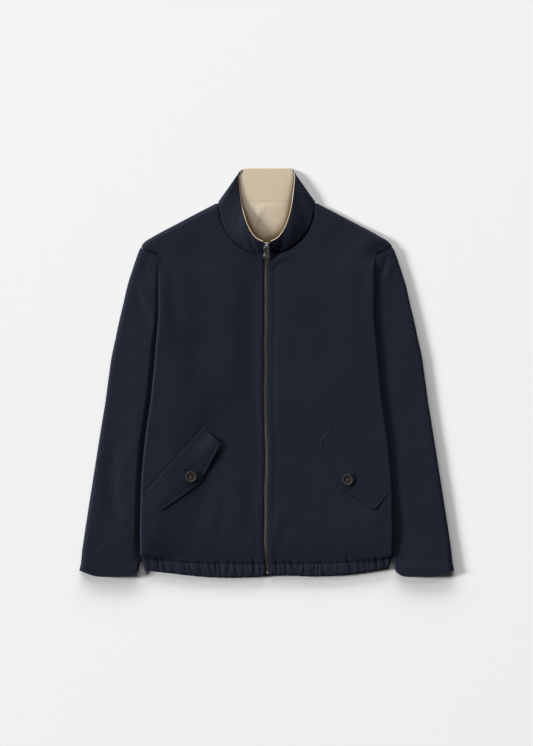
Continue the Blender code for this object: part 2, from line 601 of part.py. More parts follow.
def make_slider():
    """Two plates round the chain, joined past its end, with a bridge on top that carries the pull."""
    low = -0.3 - CHAIN_THICK - 0.3 - PLATE
    post = 4.6
    end = SLIDER_HALF_LONG
    plates = [
        (-end, 0.0), (-end, PLATE), (end, PLATE), (end, low), (-end, low), (-end, low + PLATE),
        (post, low + PLATE), (post, 0.0),
    ]
    slider = extrude_profile("zip_slider", plates, SLIDER_HALF_WIDE, "zip_nickel")
    inside, thick = BRIDGE_HALF_LONG, BRIDGE_THICK
    roof = PLATE + BRIDGE_INSIDE
    arch = [
        (-inside - thick, PLATE - 0.4), (-inside - thick, roof + 0.4), (-inside, roof + thick),
        (inside, roof + thick), (inside + thick, roof + 0.4), (inside + thick, PLATE - 0.4),
        (inside, PLATE - 0.4), (inside, roof), (-inside, roof), (-inside, PLATE - 0.4),
    ]
    union(slider, extrude_profile("bridge_shape", arch, BRIDGE_HALF_WIDE, "zip_nickel"))
    return slider


def pull_axis():
    """Where the pull's bar lies under the bridge."""
    return slope_place([(0.0, -PULL_BACK, PLATE + 0.5 * BRIDGE_INSIDE)])[0]


def flat_prism(name, outline, thick, mat, angle=30.0):
    """An outline in plan, made thick about its own middle, at the origin."""
    count = len(outline)
    points = [(x, y, -0.5 * thick) for x, y in outline] + [(x, y, 0.5 * thick) for x, y in outline]
    faces = [tuple(range(count - 1, -1, -1)), tuple(range(count, 2 * count))]
    faces += [(i, (i + 1) % count, count + (i + 1) % count, count + i) for i in range(count)]
    mesh = bpy.data.meshes.new(name)
    mesh.from_pydata((np.array(points) * MM).tolist(), [], faces)
    mesh.materials.append(material(mat))
    mesh.shade_smooth()
    mesh.set_sharp_from_angle(angle=math.radians(angle))
    obj = bpy.data.objects.new(name, mesh)
    bpy.context.collection.objects.link(obj)
    return obj


def circle(x, y, radius, count, start=0.0):
    angles = start + np.linspace(0, 2 * math.pi, count, endpoint=False)
    return [(x + radius * math.cos(a), y + radius * math.sin(a)) for a in angles]


def make_pull():
    """A slotted plate that flares to a rounded end with a hole; its bar turns under the slider's bridge."""
    outline = [(-half, y) for y, half in PULL_HALF] + [(half, y) for y, half in reversed(PULL_HALF)]
    pull = flat_prism("zip_pull", outline, PULL_THICK, "zip_nickel")
    start, end, half = PULL_SLOT
    slot_line = [(-half, -end), (half, -end), (half, -start), (-half, -start)]
    slot = flat_prism("slot_shape", slot_line, 6.0, "zip_nickel")
    hole = flat_prism("hole_shape", circle(0.0, PULL_HOLE_AT, PULL_HOLE_R, 14), 6.0, "zip_nickel")
    for tool in (slot, hole):
        cut(pull, tool)
    axis = pull_axis() + (0.0, SHIFT_Y, 0.0)
    for obj in (pull, slot, hole):
        obj.location = (axis * MM).tolist()
        obj.rotation_euler = (PULL_TILT, 0.0, 0.0)
    return pull


def make_zip_stop():
    """A small box closed round the chain's lower end."""
    y0 = -393.6
    z0 = front_height_at(np.array([-389.5]), 1)[0] - CLOTH - SEAM - 0.1 - 0.5 * TAPE_THICK
    corners = box_points((-3.0, 3.0), (y0, y0 + 3.8), (z0 - 1.1, z0 + 1.6))
    return add_mesh("zip_stop", corners, BOX_FACES, "zip_brass", 30.0)


def flap_frame(side, x0, y0, x1, y1):
    start = np.array([side * x0, y0])
    along = np.array([side * x1, y1]) - start
    length = np.linalg.norm(along)
    along = along / length
    down = np.array([along[1], -along[0]]) * side
    return start, along, -down if down[1] > 0 else down, length


def flap_top(x, y, side, p):
    """Height of a flap's outer side; p runs along it from its upper end."""
    curl = FLAP_CURL * (1 - ease(p / FLAP_CURL_RUN))
    return front_top(x, y, side) + FLAP_CLEAR + FLAP_CLOTH + curl


def make_flap(name, side, corners, middle, lean, end_depth, point_depth):
    start, along, down, length = flap_frame(side, *corners)
    p = np.concatenate([np.linspace(0, middle, 8), np.linspace(middle, 1, 8)[1:]])[:, None]
    q = np.linspace(0, 1, 6)[None, :]
    toward_point = np.where(p < middle, p / middle, (1 - p) / (1 - middle))
    depth = q * (end_depth + (point_depth - end_depth) * toward_point)
    place = start + along * (p * length + lean * depth)[..., None] + down * depth[..., None]
    x, y = place[..., 0], place[..., 1]
    outer = np.stack([x, y, flap_top(x, y, side, p)], axis=-1)
    return wall(name, outer, outer - (0.0, 0.0, FLAP_CLOTH), "navy_cloth")


def make_button(name, side, corners, middle, lean, button_in):
    start, along, down, length = flap_frame(side, *corners)
    place = start + along * (middle * length + lean * button_in) + down * button_in
    around = [place + BUTTON_R * np.array([math.cos(a), math.sin(a)]) for a in np.linspace(0, 2 * math.pi, 12)]
    under = max(float(flap_top(np.array(px), np.array(py), side, np.array(middle))) for px, py in around)
    profile = [(0.0, 0.0), (BUTTON_R - 1.2, 0.0), (BUTTON_R, 0.9), (BUTTON_R, 2.1)]
    profile += [(BUTTON_R - 1.0, BUTTON_THICK), (BUTTON_R - 2.4, BUTTON_THICK - 0.1)]
    profile += [(BUTTON_R - 3.6, BUTTON_THICK - 0.9), (0.0, BUTTON_THICK - 0.9)]
    count = 20
    points = [(0.0, 0.0, 0.0)]
    for r, z in profile[1:-1]:
        points += [(x, y, z) for x, y in circle(0.0, 0.0, r, count)]
    points.append((0.0, 0.0, profile[-1][1]))
    rings = len(profile) - 2
    faces = [(0, 1 + (i + 1) % count, 1 + i) for i in range(count)]
    for k in range(rings - 1):
        a, b = 1 + k * count, 1 + (k + 1) * count
        faces += [(a + i, a + (i + 1) % count, b + (i + 1) % count, b + i) for i in range(count)]
    a = 1 + (rings - 1) * count
    faces += [(a + i, a + (i + 1) % count, len(points) - 1) for i in range(count)]
    at = np.array([place[0], place[1], under + SEAM + 0.1])
    button = add_mesh(name, np.array(points) + at, faces, "button_horn", 35.0)
    for i, (hx, hy) in enumerate(circle(0.0, 0.0, BUTTON_HOLE_AT * math.sqrt(2), 4, math.pi / 4)):
        hole = flat_prism(f"{name}_hole_{i}", circle(0.0, 0.0, BUTTON_HOLE_R, 8), 12.0, "button_horn")
        hole.location = ((at + (hx, hy + SHIFT_Y, 1.0)) * MM).tolist()
        cut(button, hole)
    return button


def main():
    clear_scene()
    make_back()
    make_neck_lining()
    make_hem_back()
    for side, word in ((-1, "left"), (1, "right")):
        make_sleeve(f"sleeve_{word}", side)
        make_front(f"front_{word}", side)
        make_hem_front(f"hem_{word}", side)
        make_zip_tape(f"zip_tape_{word}", side)
    make_collar()
    make_zip_chain()
    make_zip_stop()
    make_slider()
    make_pull()
    for side, *corners, middle, lean, end_depth, point_depth, button_in in FLAPS:
        word = "left" if side < 0 else "right"
        make_flap(f"pocket_flap_{word}", side, corners, middle, lean, end_depth, point_depth)
        make_button(f"button_{word}", side, corners, middle, lean, button_in)


main()
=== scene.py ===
import math

import bmesh
import bpy
import numpy as np
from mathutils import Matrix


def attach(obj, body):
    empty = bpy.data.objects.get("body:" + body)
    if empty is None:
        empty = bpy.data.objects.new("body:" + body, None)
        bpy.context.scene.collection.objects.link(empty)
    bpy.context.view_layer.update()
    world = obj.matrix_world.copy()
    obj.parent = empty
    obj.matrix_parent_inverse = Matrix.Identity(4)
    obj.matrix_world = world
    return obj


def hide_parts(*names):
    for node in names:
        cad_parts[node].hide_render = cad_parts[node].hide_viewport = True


# Zip-front bomber jacket laid flat on its back, front up, collar toward +Y.
# Sewing sizes are in millimetres and become metres when a mesh is made.

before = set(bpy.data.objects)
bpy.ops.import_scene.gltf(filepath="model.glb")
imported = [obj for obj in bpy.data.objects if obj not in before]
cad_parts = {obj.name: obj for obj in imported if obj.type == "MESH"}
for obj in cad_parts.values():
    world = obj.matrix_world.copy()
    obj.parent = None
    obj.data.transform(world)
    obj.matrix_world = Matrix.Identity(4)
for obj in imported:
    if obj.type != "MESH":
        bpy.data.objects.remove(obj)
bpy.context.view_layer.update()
print("frame loaded:", len(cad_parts), "nodes")

mm = 0.001
shiftY = -1.0  # the middle of the outline against the sewing sizes
sides = ((-1, "left"), (1, "right"))


# Arithmetic on whole arrays.

def ease(t):
    # 3t^2 - 2t^3 between 0 and 1
    t = np.clip(t, 0.0, 1.0)
    return t * t * (3 - 2 * t)


def smoothCurve(table, x):
    # cubic through a two-column table; its slope at a row is the harmonic mean of the slopes beside it
    xk, yk = np.array(table, float).T
    x = np.clip(np.asarray(x, float), xk[0], xk[-1])
    step = np.diff(xk)
    slope = np.diff(yk) / step
    same = slope[:-1] * slope[1:] > 0
    lean = np.zeros(len(xk))
    both = 2 * slope[:-1] * slope[1:] / np.where(same, slope[:-1] + slope[1:], 1.0)
    lean[1:-1] = np.where(same, both, 0.0)
    lean[0] = slope[0]
    lean[-1] = slope[-1]
    i = np.clip(np.searchsorted(xk, x, side="right") - 1, 0, len(step) - 1)
    t = (x - xk[i]) / step[i]
    a = (1 + 2 * t) * (1 - t) ** 2 * yk[i] + t * (1 - t) ** 2 * step[i] * lean[i]
    return a + t * t * (3 - 2 * t) * yk[i + 1] + t * t * (t - 1) * step[i] * lean[i + 1]


def keyCurves(table, steps):
    # every column of a table as a smooth curve over the running total of its last column
    table = np.array(table, float)
    keys = np.concatenate([[0.0], np.cumsum(table[:-1, -1])])
    at = np.linspace(0.0, keys[-1], steps)
    columns = [smoothCurve(np.stack([keys, table[:, k]], axis=1), at) for k in range(table.shape[1] - 1)]
    return np.stack(columns, axis=1), at, keys


def alongLine(line, run, at):
    # points of a line at the given places along its run
    return np.stack([np.interp(at, run, line[:, k]) for k in range(line.shape[1])], axis=-1)


def evenRows(table, count, pairs):
    # rows spaced evenly along the lines that the given pairs of columns draw, and each row's place, 0 to 1
    fine, at, keys = keyCurves(table, 4001)
    run = sum(np.hypot(np.diff(fine[:, a]), np.diff(fine[:, b])) for a, b in pairs)
    run = np.concatenate([[0.0], np.cumsum(run)])
    spots = np.interp(np.linspace(0.0, run[-1], count), run, at)
    return alongLine(fine, at, spots), spots / keys[-1]


def distanceTo(x, y, line):
    # plan distance from each point to the nearest piece of a line of points
    p = np.stack(np.broadcast_arrays(x, y), axis=-1).astype(float)
    best = np.full(p.shape[:-1], 1e9)
    for a, b in zip(line[:-1], line[1:]):
        run = b - a
        t = np.clip(((p - a) @ run) / max(float(run @ run), 1e-9), 0.0, 1.0)
        best = np.minimum(best, ((p - a - t[..., None] * run) ** 2).sum(-1))
    return np.sqrt(best)


def unit(v):
    return v / np.maximum(np.linalg.norm(v, axis=-1, keepdims=True), 1e-9)


def bell(distance, half):
    # exp(-(distance / half)^2): the section of a crease or a groove
    return np.exp(-((distance / half) ** 2))


def quarterRound(distance, radius):
    # sqrt(1 - (1 - distance / radius)^2): 0 at an edge, 1 from the radius on
    return np.sqrt(1.0 - (1.0 - np.clip(distance / radius, 0.0, 1.0)) ** 2)


def powered(c, power):
    # sign(c) |c|^power: squares the corners of a circle or a sphere
    return np.sign(c) * np.abs(c) ** power


def gridNormals(grid):
    # cross product of the two directions of a grid
    return unit(np.cross(np.gradient(grid, axis=1), np.gradient(grid, axis=0)))


def creaseSum(x, y, table):
    # each row: from x, y to x, y, sideways bow, half width, height, how much wider its right flank is
    # height times a window that fades at both ends times exp(-(offset / width)^2)
    total = np.zeros(np.broadcast(x, y).shape)
    for x0, y0, x1, y1, bow, half, height, skew in table:
        length = math.hypot(x1 - x0, y1 - y0)
        cx, cy = (x1 - x0) / length, (y1 - y0) / length
        along = ((x - x0) * cx + (y - y0) * cy) / length
        inside = np.clip(along, 0.0, 1.0)
        offset = (x - x0) * -cy + (y - y0) * cx - bow * 4 * inside * (1 - inside)
        width = half * (1 + skew * np.tanh(offset / half))
        window = ease((along + 0.12) / 0.42) * ease((1.12 - along) / 0.42)
        total += height * window * bell(offset, width)
    return total


def ripple(x, y, seed, count, short, long):
    # sum of a few plane waves in fixed, seeded directions; about -1 to 1
    rng = np.random.default_rng(seed)
    total = np.zeros(np.broadcast(x, y).shape)
    for _ in range(count):
        angle, turn = rng.uniform(0, math.pi), rng.uniform(0, 2 * math.pi)
        wave = 2 * math.pi / rng.uniform(short, long)
        total += np.sin((x * math.cos(angle) + y * math.sin(angle)) * wave + turn)
    return total / count


# Meshes.

def linkPiece(name, points, faceGroups, material, uv=None, sharp=50.0, body="jacket"):
    # points in millimetres, faces as arrays of one width each; faces that point inward are all turned round
    if signedVolume(points, faceGroups) < 0:
        faceGroups = [g[:, ::-1] for g in faceGroups]
    mesh = bpy.data.meshes.new(name)
    placed = (points + (0.0, shiftY, 0.0)) * mm
    mesh.vertices.add(len(placed))
    mesh.vertices.foreach_set("co", placed.astype(np.float32).ravel())
    loops = np.concatenate([np.asarray(g).ravel() for g in faceGroups]).astype(np.int32)
    sizes = np.concatenate([np.full(len(g), np.shape(g)[1]) for g in faceGroups])
    starts = np.concatenate([[0], np.cumsum(sizes)[:-1]]).astype(np.int32)
    mesh.loops.add(len(loops))
    mesh.loops.foreach_set("vertex_index", loops)
    mesh.polygons.add(len(starts))
    mesh.polygons.foreach_set("loop_start", starts)
    if uv is not None:
        layer = mesh.uv_layers.new(name="cloth")
        layer.data.foreach_set("uv", (uv[loops] * mm).astype(np.float32).ravel())
    mesh.update(calc_edges=True)
    mesh.validate()
    mesh.shade_smooth()
    mesh.set_sharp_from_angle(angle=math.radians(sharp))
    mesh.materials.append(material)
    piece = bpy.data.objects.new(name, mesh)
    bpy.context.scene.collection.objects.link(piece)
    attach(piece, body)
    return piece


def standFor(piece, node):
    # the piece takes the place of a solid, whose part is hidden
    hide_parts(node)


def signedVolume(points, faceGroups):
    # six times the volume inside closed faces; negative where they point inward
    total = 0.0
    for g in faceGroups:
        p = points[np.asarray(g)]
        for k in range(1, p.shape[1] - 1):
            total += np.einsum("ij,ij->i", p[:, 0], np.cross(p[:, k], p[:, k + 1])).sum()
    return total


def gridFaces(rows, cols, wrap=False):
    # quads of a grid of points; wrap joins its last column to its first
    index = np.arange(rows * cols).reshape(rows, cols)
    if wrap:
        index = np.concatenate([index, index[:, :1]], axis=1)
    corners = (index[:-1, :-1], index[:-1, 1:], index[1:, 1:], index[1:, :-1])
    return np.stack(corners, axis=-1).reshape(-1, 4)


def poleCaps(rows, around):
    # triangles that close a wrapped grid onto two poles, which follow its points
    first = np.arange(around)
    after = (first + 1) % around
    count = rows * around
    low = np.stack([after, first, np.full(around, count)], axis=1)
    last = count - around
    high = np.stack([first + last, after + last, np.full(around, count + 1)], axis=1)
    return np.concatenate([low, high])


def clothWall(name, outer, inner, material, uv=None):
    # a closed thin wall between two grids, joined round their rims
    rows, cols = outer.shape[:2]
    points = np.concatenate([outer.reshape(-1, 3), inner.reshape(-1, 3)])
    front = gridFaces(rows, cols)
    back = front[:, ::-1] + rows * cols
    index = np.arange(rows * cols).reshape(rows, cols)
    rim = np.concatenate([index[0, :], index[1:, -1], index[-1, -2::-1], index[-2:0:-1, 0]])
    after = np.roll(rim, -1)
    band = np.stack([after, rim, rim + rows * cols, after + rows * cols], axis=-1)
    uv = outer[..., :2] if uv is None else uv
    flat = np.tile(uv.reshape(-1, 2), (2, 1))
    return linkPiece(name, points, [np.concatenate([front, back, band])], material, flat)


def lineLengths(line):
    return np.concatenate([[0.0], np.cumsum(np.linalg.norm(np.diff(line, axis=0), axis=1))])


def spacedLine(line, count):
    # points spaced evenly along a line
    run = lineLengths(line)
    return alongLine(line, run, np.linspace(0.0, run[-1], count))


def sewLine(line, up, sewing):
    # one small rounded stitch after another along a line; sewing holds pitch, length, width, height and sink
    corners = 6  # round each stitch
    run = lineLengths(line)
    count = max(int(run[-1] / sewing["pitch"]), 1)
    begin = (np.arange(count) + 0.5) * run[-1] / count - 0.5 * sewing["length"]
    first, last = (alongLine(line, run, begin + d) for d in (0, sewing["length"]))
    upAt = unit(alongLine(up, run, begin))
    across = unit(np.cross(last - first, upAt))
    t = np.array([0.0, 0.1, 0.35, 0.65, 0.9, 1.0])
    swell = np.sqrt(np.clip(1 - (2 * t - 1) ** 4, 0.0, 1.0)) + 0.04
    rise = np.sin(math.pi * t) * 0.5
    turn = np.linspace(0, 2 * math.pi, corners, endpoint=False)
    along = first[:, None, None] + (last - first)[:, None, None] * t[None, :, None, None]
    wide = across[:, None, None] * (np.cos(turn)[None, None, :, None] * swell[None, :, None, None])
    lift = np.sin(turn)[None, None, :] * swell[None, :, None] + rise[None, :, None] - sewing["sink"]
    high = upAt[:, None, None] * lift[..., None]
    points = along + 0.5 * sewing["width"] * wide + 0.5 * sewing["height"] * high
    faces, caps = repeated(len(t), corners, count)
    return points.reshape(-1, 3), faces, caps


def repeated(rings, around, count):
    # side faces and end caps of many equal tubes whose points follow each other
    start = (np.arange(count) * rings * around)[:, None, None]
    caps = np.stack([np.arange(around)[::-1], np.arange(around) + (rings - 1) * around])
    sideFaces = gridFaces(rings, around, wrap=True)
    return (sideFaces[None] + start).reshape(-1, 4), (caps[None] + start).reshape(-1, around)


def joined(parts):
    # several closed shapes as one: each part is its points and then its groups of faces
    starts = np.concatenate([[0], np.cumsum([len(part[0]) for part in parts])[:-1]])
    points = np.concatenate([part[0] for part in parts])
    kinds = list(zip(*parts))[1:]
    return points, [np.concatenate([faces + start for faces, start in zip(kind, starts)]) for kind in kinds]


def joinedPiece(name, parts, material):
    points, groups = joined(parts)
    piece = linkPiece(name, points, groups, material, points[:, :2], 60.0)


def sewnPiece(name, lines, material, sewing):
    # several sewn lines joined in one piece
    joinedPiece(name, [sewLine(line, up, sewing) for line, up in lines], material)


# Shader effects shared by the materials.

def newGroup(name, inputs, outputs):
    group = bpy.data.node_groups.new(name, "ShaderNodeTree")
    for label, kind, value in inputs:
        socket = group.interface.new_socket(label, in_out="INPUT", socket_type="NodeSocket" + kind)
        if value is not None:
            socket.default_value = value
    for label, kind in outputs:
        group.interface.new_socket(label, in_out="OUTPUT", socket_type="NodeSocket" + kind)
    return group, group.nodes.new("NodeGroupInput"), group.nodes.new("NodeGroupOutput")


def mathNode(tree, operation, *values):
    node = tree.nodes.new("ShaderNodeMath")
    node.operation = operation
    for slot, value in enumerate(values):
        if isinstance(value, (int, float)):
            node.inputs[slot].default_value = value
        else:
            tree.links.new(value, node.inputs[slot])
    return node.outputs[0]


def noiseNode(tree, vector, scale, detail=2.0, rough=0.5):
    node = tree.nodes.new("ShaderNodeTexNoise")
    node.inputs["Detail"].default_value = detail
    node.inputs["Roughness"].default_value = rough
    if isinstance(scale, (int, float)):
        node.inputs["Scale"].default_value = scale
    else:
        tree.links.new(scale, node.inputs["Scale"])
    tree.links.new(vector, node.inputs["Vector"])
    return node.outputs["Fac"]


def stretchNode(tree, vector, scale):
    node = tree.nodes.new("ShaderNodeVectorMath")
    node.operation = "MULTIPLY"
    node.inputs[1].default_value = scale
    tree.links.new(vector, node.inputs[0])
    return node.outputs[0]


def mixColours(tree, factor, first, second):
    node = tree.nodes.new("ShaderNodeMix")
    node.data_type = "RGBA"
    tree.links.new(factor, node.inputs["Factor"])
    for label, value in (("A", first), ("B", second)):
        socket = [s for s in node.inputs if s.name == label and s.type == "RGBA"][0]
        if isinstance(value, tuple):
            socket.default_value = (*value, 1.0)
        else:
            tree.links.new(value, socket)
    return [s for s in node.outputs if s.type == "RGBA"][0]


def makeWeave():
    # plain weave: sin(pi u) sin(pi v) over the thread pitch, with slubs drawn out along both threads
    tree, into, out = newGroup(
        "woven threads",
        [("Cloth", "Vector", None), ("Pitch", "Float", 0.00045), ("Slub", "Float", 0.5)],
        [("Height", "Float"), ("Thread", "Float")],
    )
    split = tree.nodes.new("ShaderNodeSeparateXYZ")
    tree.links.new(into.outputs["Cloth"], split.inputs[0])
    waves = []
    for axis in (0, 1):
        turns = mathNode(tree, "DIVIDE", split.outputs[axis], into.outputs["Pitch"])
        waves.append(mathNode(tree, "SINE", mathNode(tree, "MULTIPLY", turns, math.pi)))
    checker = mathNode(tree, "MULTIPLY", waves[0], waves[1])
    warp = noiseNode(tree, stretchNode(tree, into.outputs["Cloth"], (2200.0, 60.0, 1.0)), 1.0)
    weft = noiseNode(tree, stretchNode(tree, into.outputs["Cloth"], (60.0, 2200.0, 1.0)), 1.0)
    slub = mathNode(tree, "MULTIPLY", mathNode(tree, "ADD", warp, weft), into.outputs["Slub"])
    tree.links.new(mathNode(tree, "MULTIPLY_ADD", checker, 0.35, slub), out.inputs["Height"])
    crossings = mathNode(tree, "MULTIPLY", checker, 0.12)
    tree.links.new(mathNode(tree, "SUBTRACT", slub, crossings), out.inputs["Thread"])
    return tree


def makeMottle():
    # broad soft unevenness of dye and handling
    tree, into, out = newGroup(
        "soft mottle",
        [("Place", "Vector", None), ("Broad", "Float", 14.0), ("Small", "Float", 120.0)],
        [("Tone", "Float"), ("Dent", "Float")],
    )
    broad = noiseNode(tree, into.outputs["Place"], into.outputs["Broad"], 3.0, 0.55)
    small = noiseNode(tree, into.outputs["Place"], into.outputs["Small"], 4.0, 0.6)
    for label, share in (("Tone", 0.35), ("Dent", 0.3)):
        mixed = mathNode(tree, "MULTIPLY_ADD", small, share, mathNode(tree, "MULTIPLY", broad, 1.0 - share))
        tree.links.new(mixed, out.inputs[label])
    return tree


def makeScuff():
    # worn and darkened metal: a soft patina and fine scratches
    tree, into, out = newGroup(
        "metal scuff",
        [("Place", "Vector", None), ("Patina", "Float", 400.0), ("Scratch", "Float", 1.0)],
        [("Tone", "Float"), ("Rough", "Float"), ("Height", "Float")],
    )
    patina = noiseNode(tree, into.outputs["Place"], into.outputs["Patina"], 4.0, 0.6)
    drawn = noiseNode(tree, stretchNode(tree, into.outputs["Place"], (5200.0, 420.0, 5200.0)), 1.0)
    scratch = mathNode(tree, "MULTIPLY", drawn, into.outputs["Scratch"])
    tree.links.new(patina, out.inputs["Tone"])
    rough = mathNode(tree, "MULTIPLY_ADD", scratch, 0.3, mathNode(tree, "MULTIPLY", patina, 0.7))
    tree.links.new(rough, out.inputs["Rough"])
    tree.links.new(mathNode(tree, "MULTIPLY_ADD", scratch, 0.5, patina), out.inputs["Height"])
    return tree


weaveGroup = makeWeave()
mottleGroup = makeMottle()
scuffGroup = makeScuff()


def placeGroup(tree, group, **values):
    node = tree.nodes.new("ShaderNodeGroup")
    node.node_tree = group
    for label, value in values.items():
        if isinstance(value, (int, float)):
            node.inputs[label].default_value = value
        else:
            tree.links.new(value, node.inputs[label])
    return node


def newMaterial(name, finish):
    # a material with its Principled BSDF set from one dictionary
    material = bpy.data.materials.new(name)
    material.use_nodes = True
    shader = material.node_tree.nodes["Principled BSDF"]
    for label, value in finish.items():
        shader.inputs[label].default_value = value
    return material, material.node_tree, shader


def span(tree, value, low, high):
    # carries 0..1 to low..high
    node = tree.nodes.new("ShaderNodeMapRange")
    node.inputs["From Min"].default_value = 0.25
    node.inputs["From Max"].default_value = 0.75
    node.inputs["To Min"].default_value = low
    node.inputs["To Max"].default_value = high
    tree.links.new(value, node.inputs["Value"])
    return node.outputs[0]


def bumpNormal(tree, shader, heights):
    # heights: pairs of a height and its depth in metres, one bump after another
    normal = None
    for height, depth in heights:
        bump = tree.nodes.new("ShaderNodeBump")
        bump.inputs["Distance"].default_value = depth
        tree.links.new(height, bump.inputs["Height"])
        if normal is not None:
            tree.links.new(normal, bump.inputs["Normal"])
        normal = bump.outputs["Normal"]
    tree.links.new(normal, shader.inputs["Normal"])


def occlusionShade(tree, look):
    # painted shade: 0 in a hollow to 1 in the open, by how much of the space around is free
    space = tree.nodes.new("ShaderNodeAmbientOcclusion")
    space.samples = 8
    space.inputs["Distance"].default_value = look["hollowReach"]
    shade = tree.nodes.new("ShaderNodeMapRange")
    shade.interpolation_type = "SMOOTHSTEP"
    shade.inputs["From Min"].default_value = look["hollowFrom"]
    shade.inputs["From Max"].default_value = look["hollowTo"]
    tree.links.new(space.outputs["AO"], shade.inputs["Value"])
    return shade.outputs[0]


def clothMaterial(name, look):
    # woven cloth: threads from the piece's own flat measures, mottle from its place, and painted shade in
    # hollows where the look gives a hollow colour
    material, tree, shader = newMaterial(name, {
        "Specular IOR Level": look["gloss"], "Sheen Weight": look["sheen"],
        "Sheen Roughness": look["sheenRough"], "Sheen Tint": (*look["sheenTint"], 1.0),
    })
    flat = tree.nodes.new("ShaderNodeUVMap")
    flat.uv_map = "cloth"
    place = tree.nodes.new("ShaderNodeTexCoord").outputs["Object"]
    weave = placeGroup(tree, weaveGroup, Cloth=flat.outputs[0], Pitch=look["pitch"], Slub=look["slub"])
    mottle = placeGroup(tree, mottleGroup, Place=place, Broad=look["broad"], Small=look["small"])
    half = mathNode(tree, "MULTIPLY", mottle.outputs["Tone"], 0.5)
    tone = mathNode(tree, "MULTIPLY_ADD", weave.outputs["Thread"], 0.5, half)
    colour = mixColours(tree, span(tree, tone, 0.0, 1.0), look["deep"], look["pale"])
    # painted shade: the dark hollow colour is mixed in where ambient occlusion finds the cloth closed in
    if "hollow" in look:
        colour = mixColours(tree, occlusionShade(tree, look), look["hollow"], colour)
    tree.links.new(colour, shader.inputs["Base Color"])
    tree.links.new(span(tree, mottle.outputs["Tone"], *look["rough"]), shader.inputs["Roughness"])
    heights = [(mottle.outputs["Dent"], look["dent"]), (weave.outputs["Height"], look["threadHigh"])]
    bumpNormal(tree, shader, heights)
    return material


def metalMaterial(name, look):
    # scuffed metal: patina and scratches set its colour, gloss and fine relief
    material, tree, shader = newMaterial(name, {"Metallic": 1.0})
    place = tree.nodes.new("ShaderNodeTexCoord").outputs["Object"]
    scuff = placeGroup(tree, scuffGroup, Place=place, Patina=look["patina"], Scratch=look["scratch"])
    colour = mixColours(tree, span(tree, scuff.outputs["Tone"], 0.0, 1.0), look["deep"], look["pale"])
    tree.links.new(colour, shader.inputs["Base Color"])
    tree.links.new(span(tree, scuff.outputs["Rough"], *look["rough"]), shader.inputs["Roughness"])
    bumpNormal(tree, shader, [(scuff.outputs["Height"], look["relief"])])
    return material


navyLook = {
    "deep": (0.0079, 0.0100, 0.0176), "pale": (0.0113, 0.0142, 0.0245), "rough": (0.74, 0.86), "gloss": 0.08,
    "sheen": 0.0, "sheenRough": 0.45, "sheenTint": (0.55, 0.65, 1.0), "pitch": 0.00042, "slub": 0.5,
    "broad": 14.0, "small": 130.0, "dent": 0.0009, "threadHigh": 0.00004,
}
threadLook = dict(
    navyLook, deep=(0.0085, 0.0108, 0.0190), pale=(0.0135, 0.0168, 0.0280), pitch=0.0003, dent=0.0002)
tapeLook = dict(
    navyLook, deep=(0.0050, 0.0062, 0.0100), pale=(0.0085, 0.0100, 0.0155), pitch=0.0008, threadHigh=0.0001)
beigeLook = {
    "deep": (0.500, 0.418, 0.310), "pale": (0.580, 0.495, 0.375), "rough": (0.78, 0.9), "gloss": 0.1,
    "sheen": 0.0, "sheenRough": 0.5, "sheenTint": (1.0, 0.95, 0.88), "pitch": 0.00045, "slub": 0.5,
    "broad": 12.0, "small": 110.0, "dent": 0.0007, "threadHigh": 0.00004,
    # painted shade: the beige darkens to this hollow colour where the collar and walls close over it
    "hollow": (0.130, 0.085, 0.045), "hollowReach": 0.09, "hollowFrom": 0.60, "hollowTo": 1.0,
}
# the beige thread keeps the beige cloth's painted shade in hollows
beigeThreadLook = dict(beigeLook, deep=(0.46, 0.39, 0.30), pale=(0.55, 0.48, 0.38), pitch=0.0003, dent=0.0002)
brassLook = {
    "deep": (0.24, 0.22, 0.185), "pale": (0.66, 0.625, 0.555), "rough": (0.26, 0.46),
    "patina": 900.0, "scratch": 0.8, "relief": 0.00003,
}
nickelLook = {
    "deep": (0.17, 0.17, 0.165), "pale": (0.56, 0.555, 0.545), "rough": (0.22, 0.42),
    "patina": 500.0, "scratch": 1.0, "relief": 0.00003,
}
navyCloth = clothMaterial("navy woven cloth", navyLook)
navyThread = clothMaterial("navy sewing thread", threadLook)
tapeCloth = clothMaterial("zip tape weave", tapeLook)
beigeCloth = clothMaterial("beige woven cloth", beigeLook)
beigeThread = clothMaterial("beige sewing thread", beigeThreadLook)
agedBrass = metalMaterial("aged brass", brassLook)
darkNickel = metalMaterial("dark nickel", nickelLook)
print("cloth and metal materials made")


# Lines that several pieces share; half tables give the side at +X.

clothThick = 1.8  # wall of body and sleeve in the solids
shell = 1.3  # wall of the cloth shown here
seamGap = 0.3
hemLine = {"midY": -373.5, "half": 245.0, "rise": 16.5, "pullY": -250.0, "topEnd": 244.2, "lowEnd": 237.6}
hemEdge = [  # x, y of the hem's lower edge
    (-240, -385.0), (-210, -389.5), (-180, -392.7), (-150, -396.4), (-116, -399.4), (-84, -400.6),
    (-50, -399.8),
    (-20, -399.0), (0, -396.8), (20, -396.4), (45, -396.4), (84, -398.0), (123, -396.9), (162, -394.0),
    (200, -388.2), (240, -382.5),
]
sideFold = [  # y, half width of the body
    (-397, 236.0), (-387.5, 237.3), (-381.6, 239.3), (-360, 244.5), (-342, 245.7), (-288, 244.7),
    (-235, 243.8),
    (-181, 241.0), (-138, 236.3), (-93, 230.1), (-44, 223.3), (14, 217.4), (59, 213.7), (102, 210.2),
    (141, 209.0), (190, 209.4), (219, 210.4), (231, 212.5), (260, 212.5),
]
tuckedFold = [  # y, half width of the sleeve's inner fold under the back
    (-397, 279), (-372, 271), (-366, 261.5), (-358, 249.0), (-346, 241.0), (-317, 230.7), (-268, 216.3),
    (-210, 198.9), (-151, 181.7), (-93, 164.8), (-58, 153.1), (-34, 153.0), (1, 167.0), (28, 188.0),
    (49, 201.0), (59, 204.5), (67, 207.0), (106, 233.0), (150, 290.0), (333, 330.0),
]
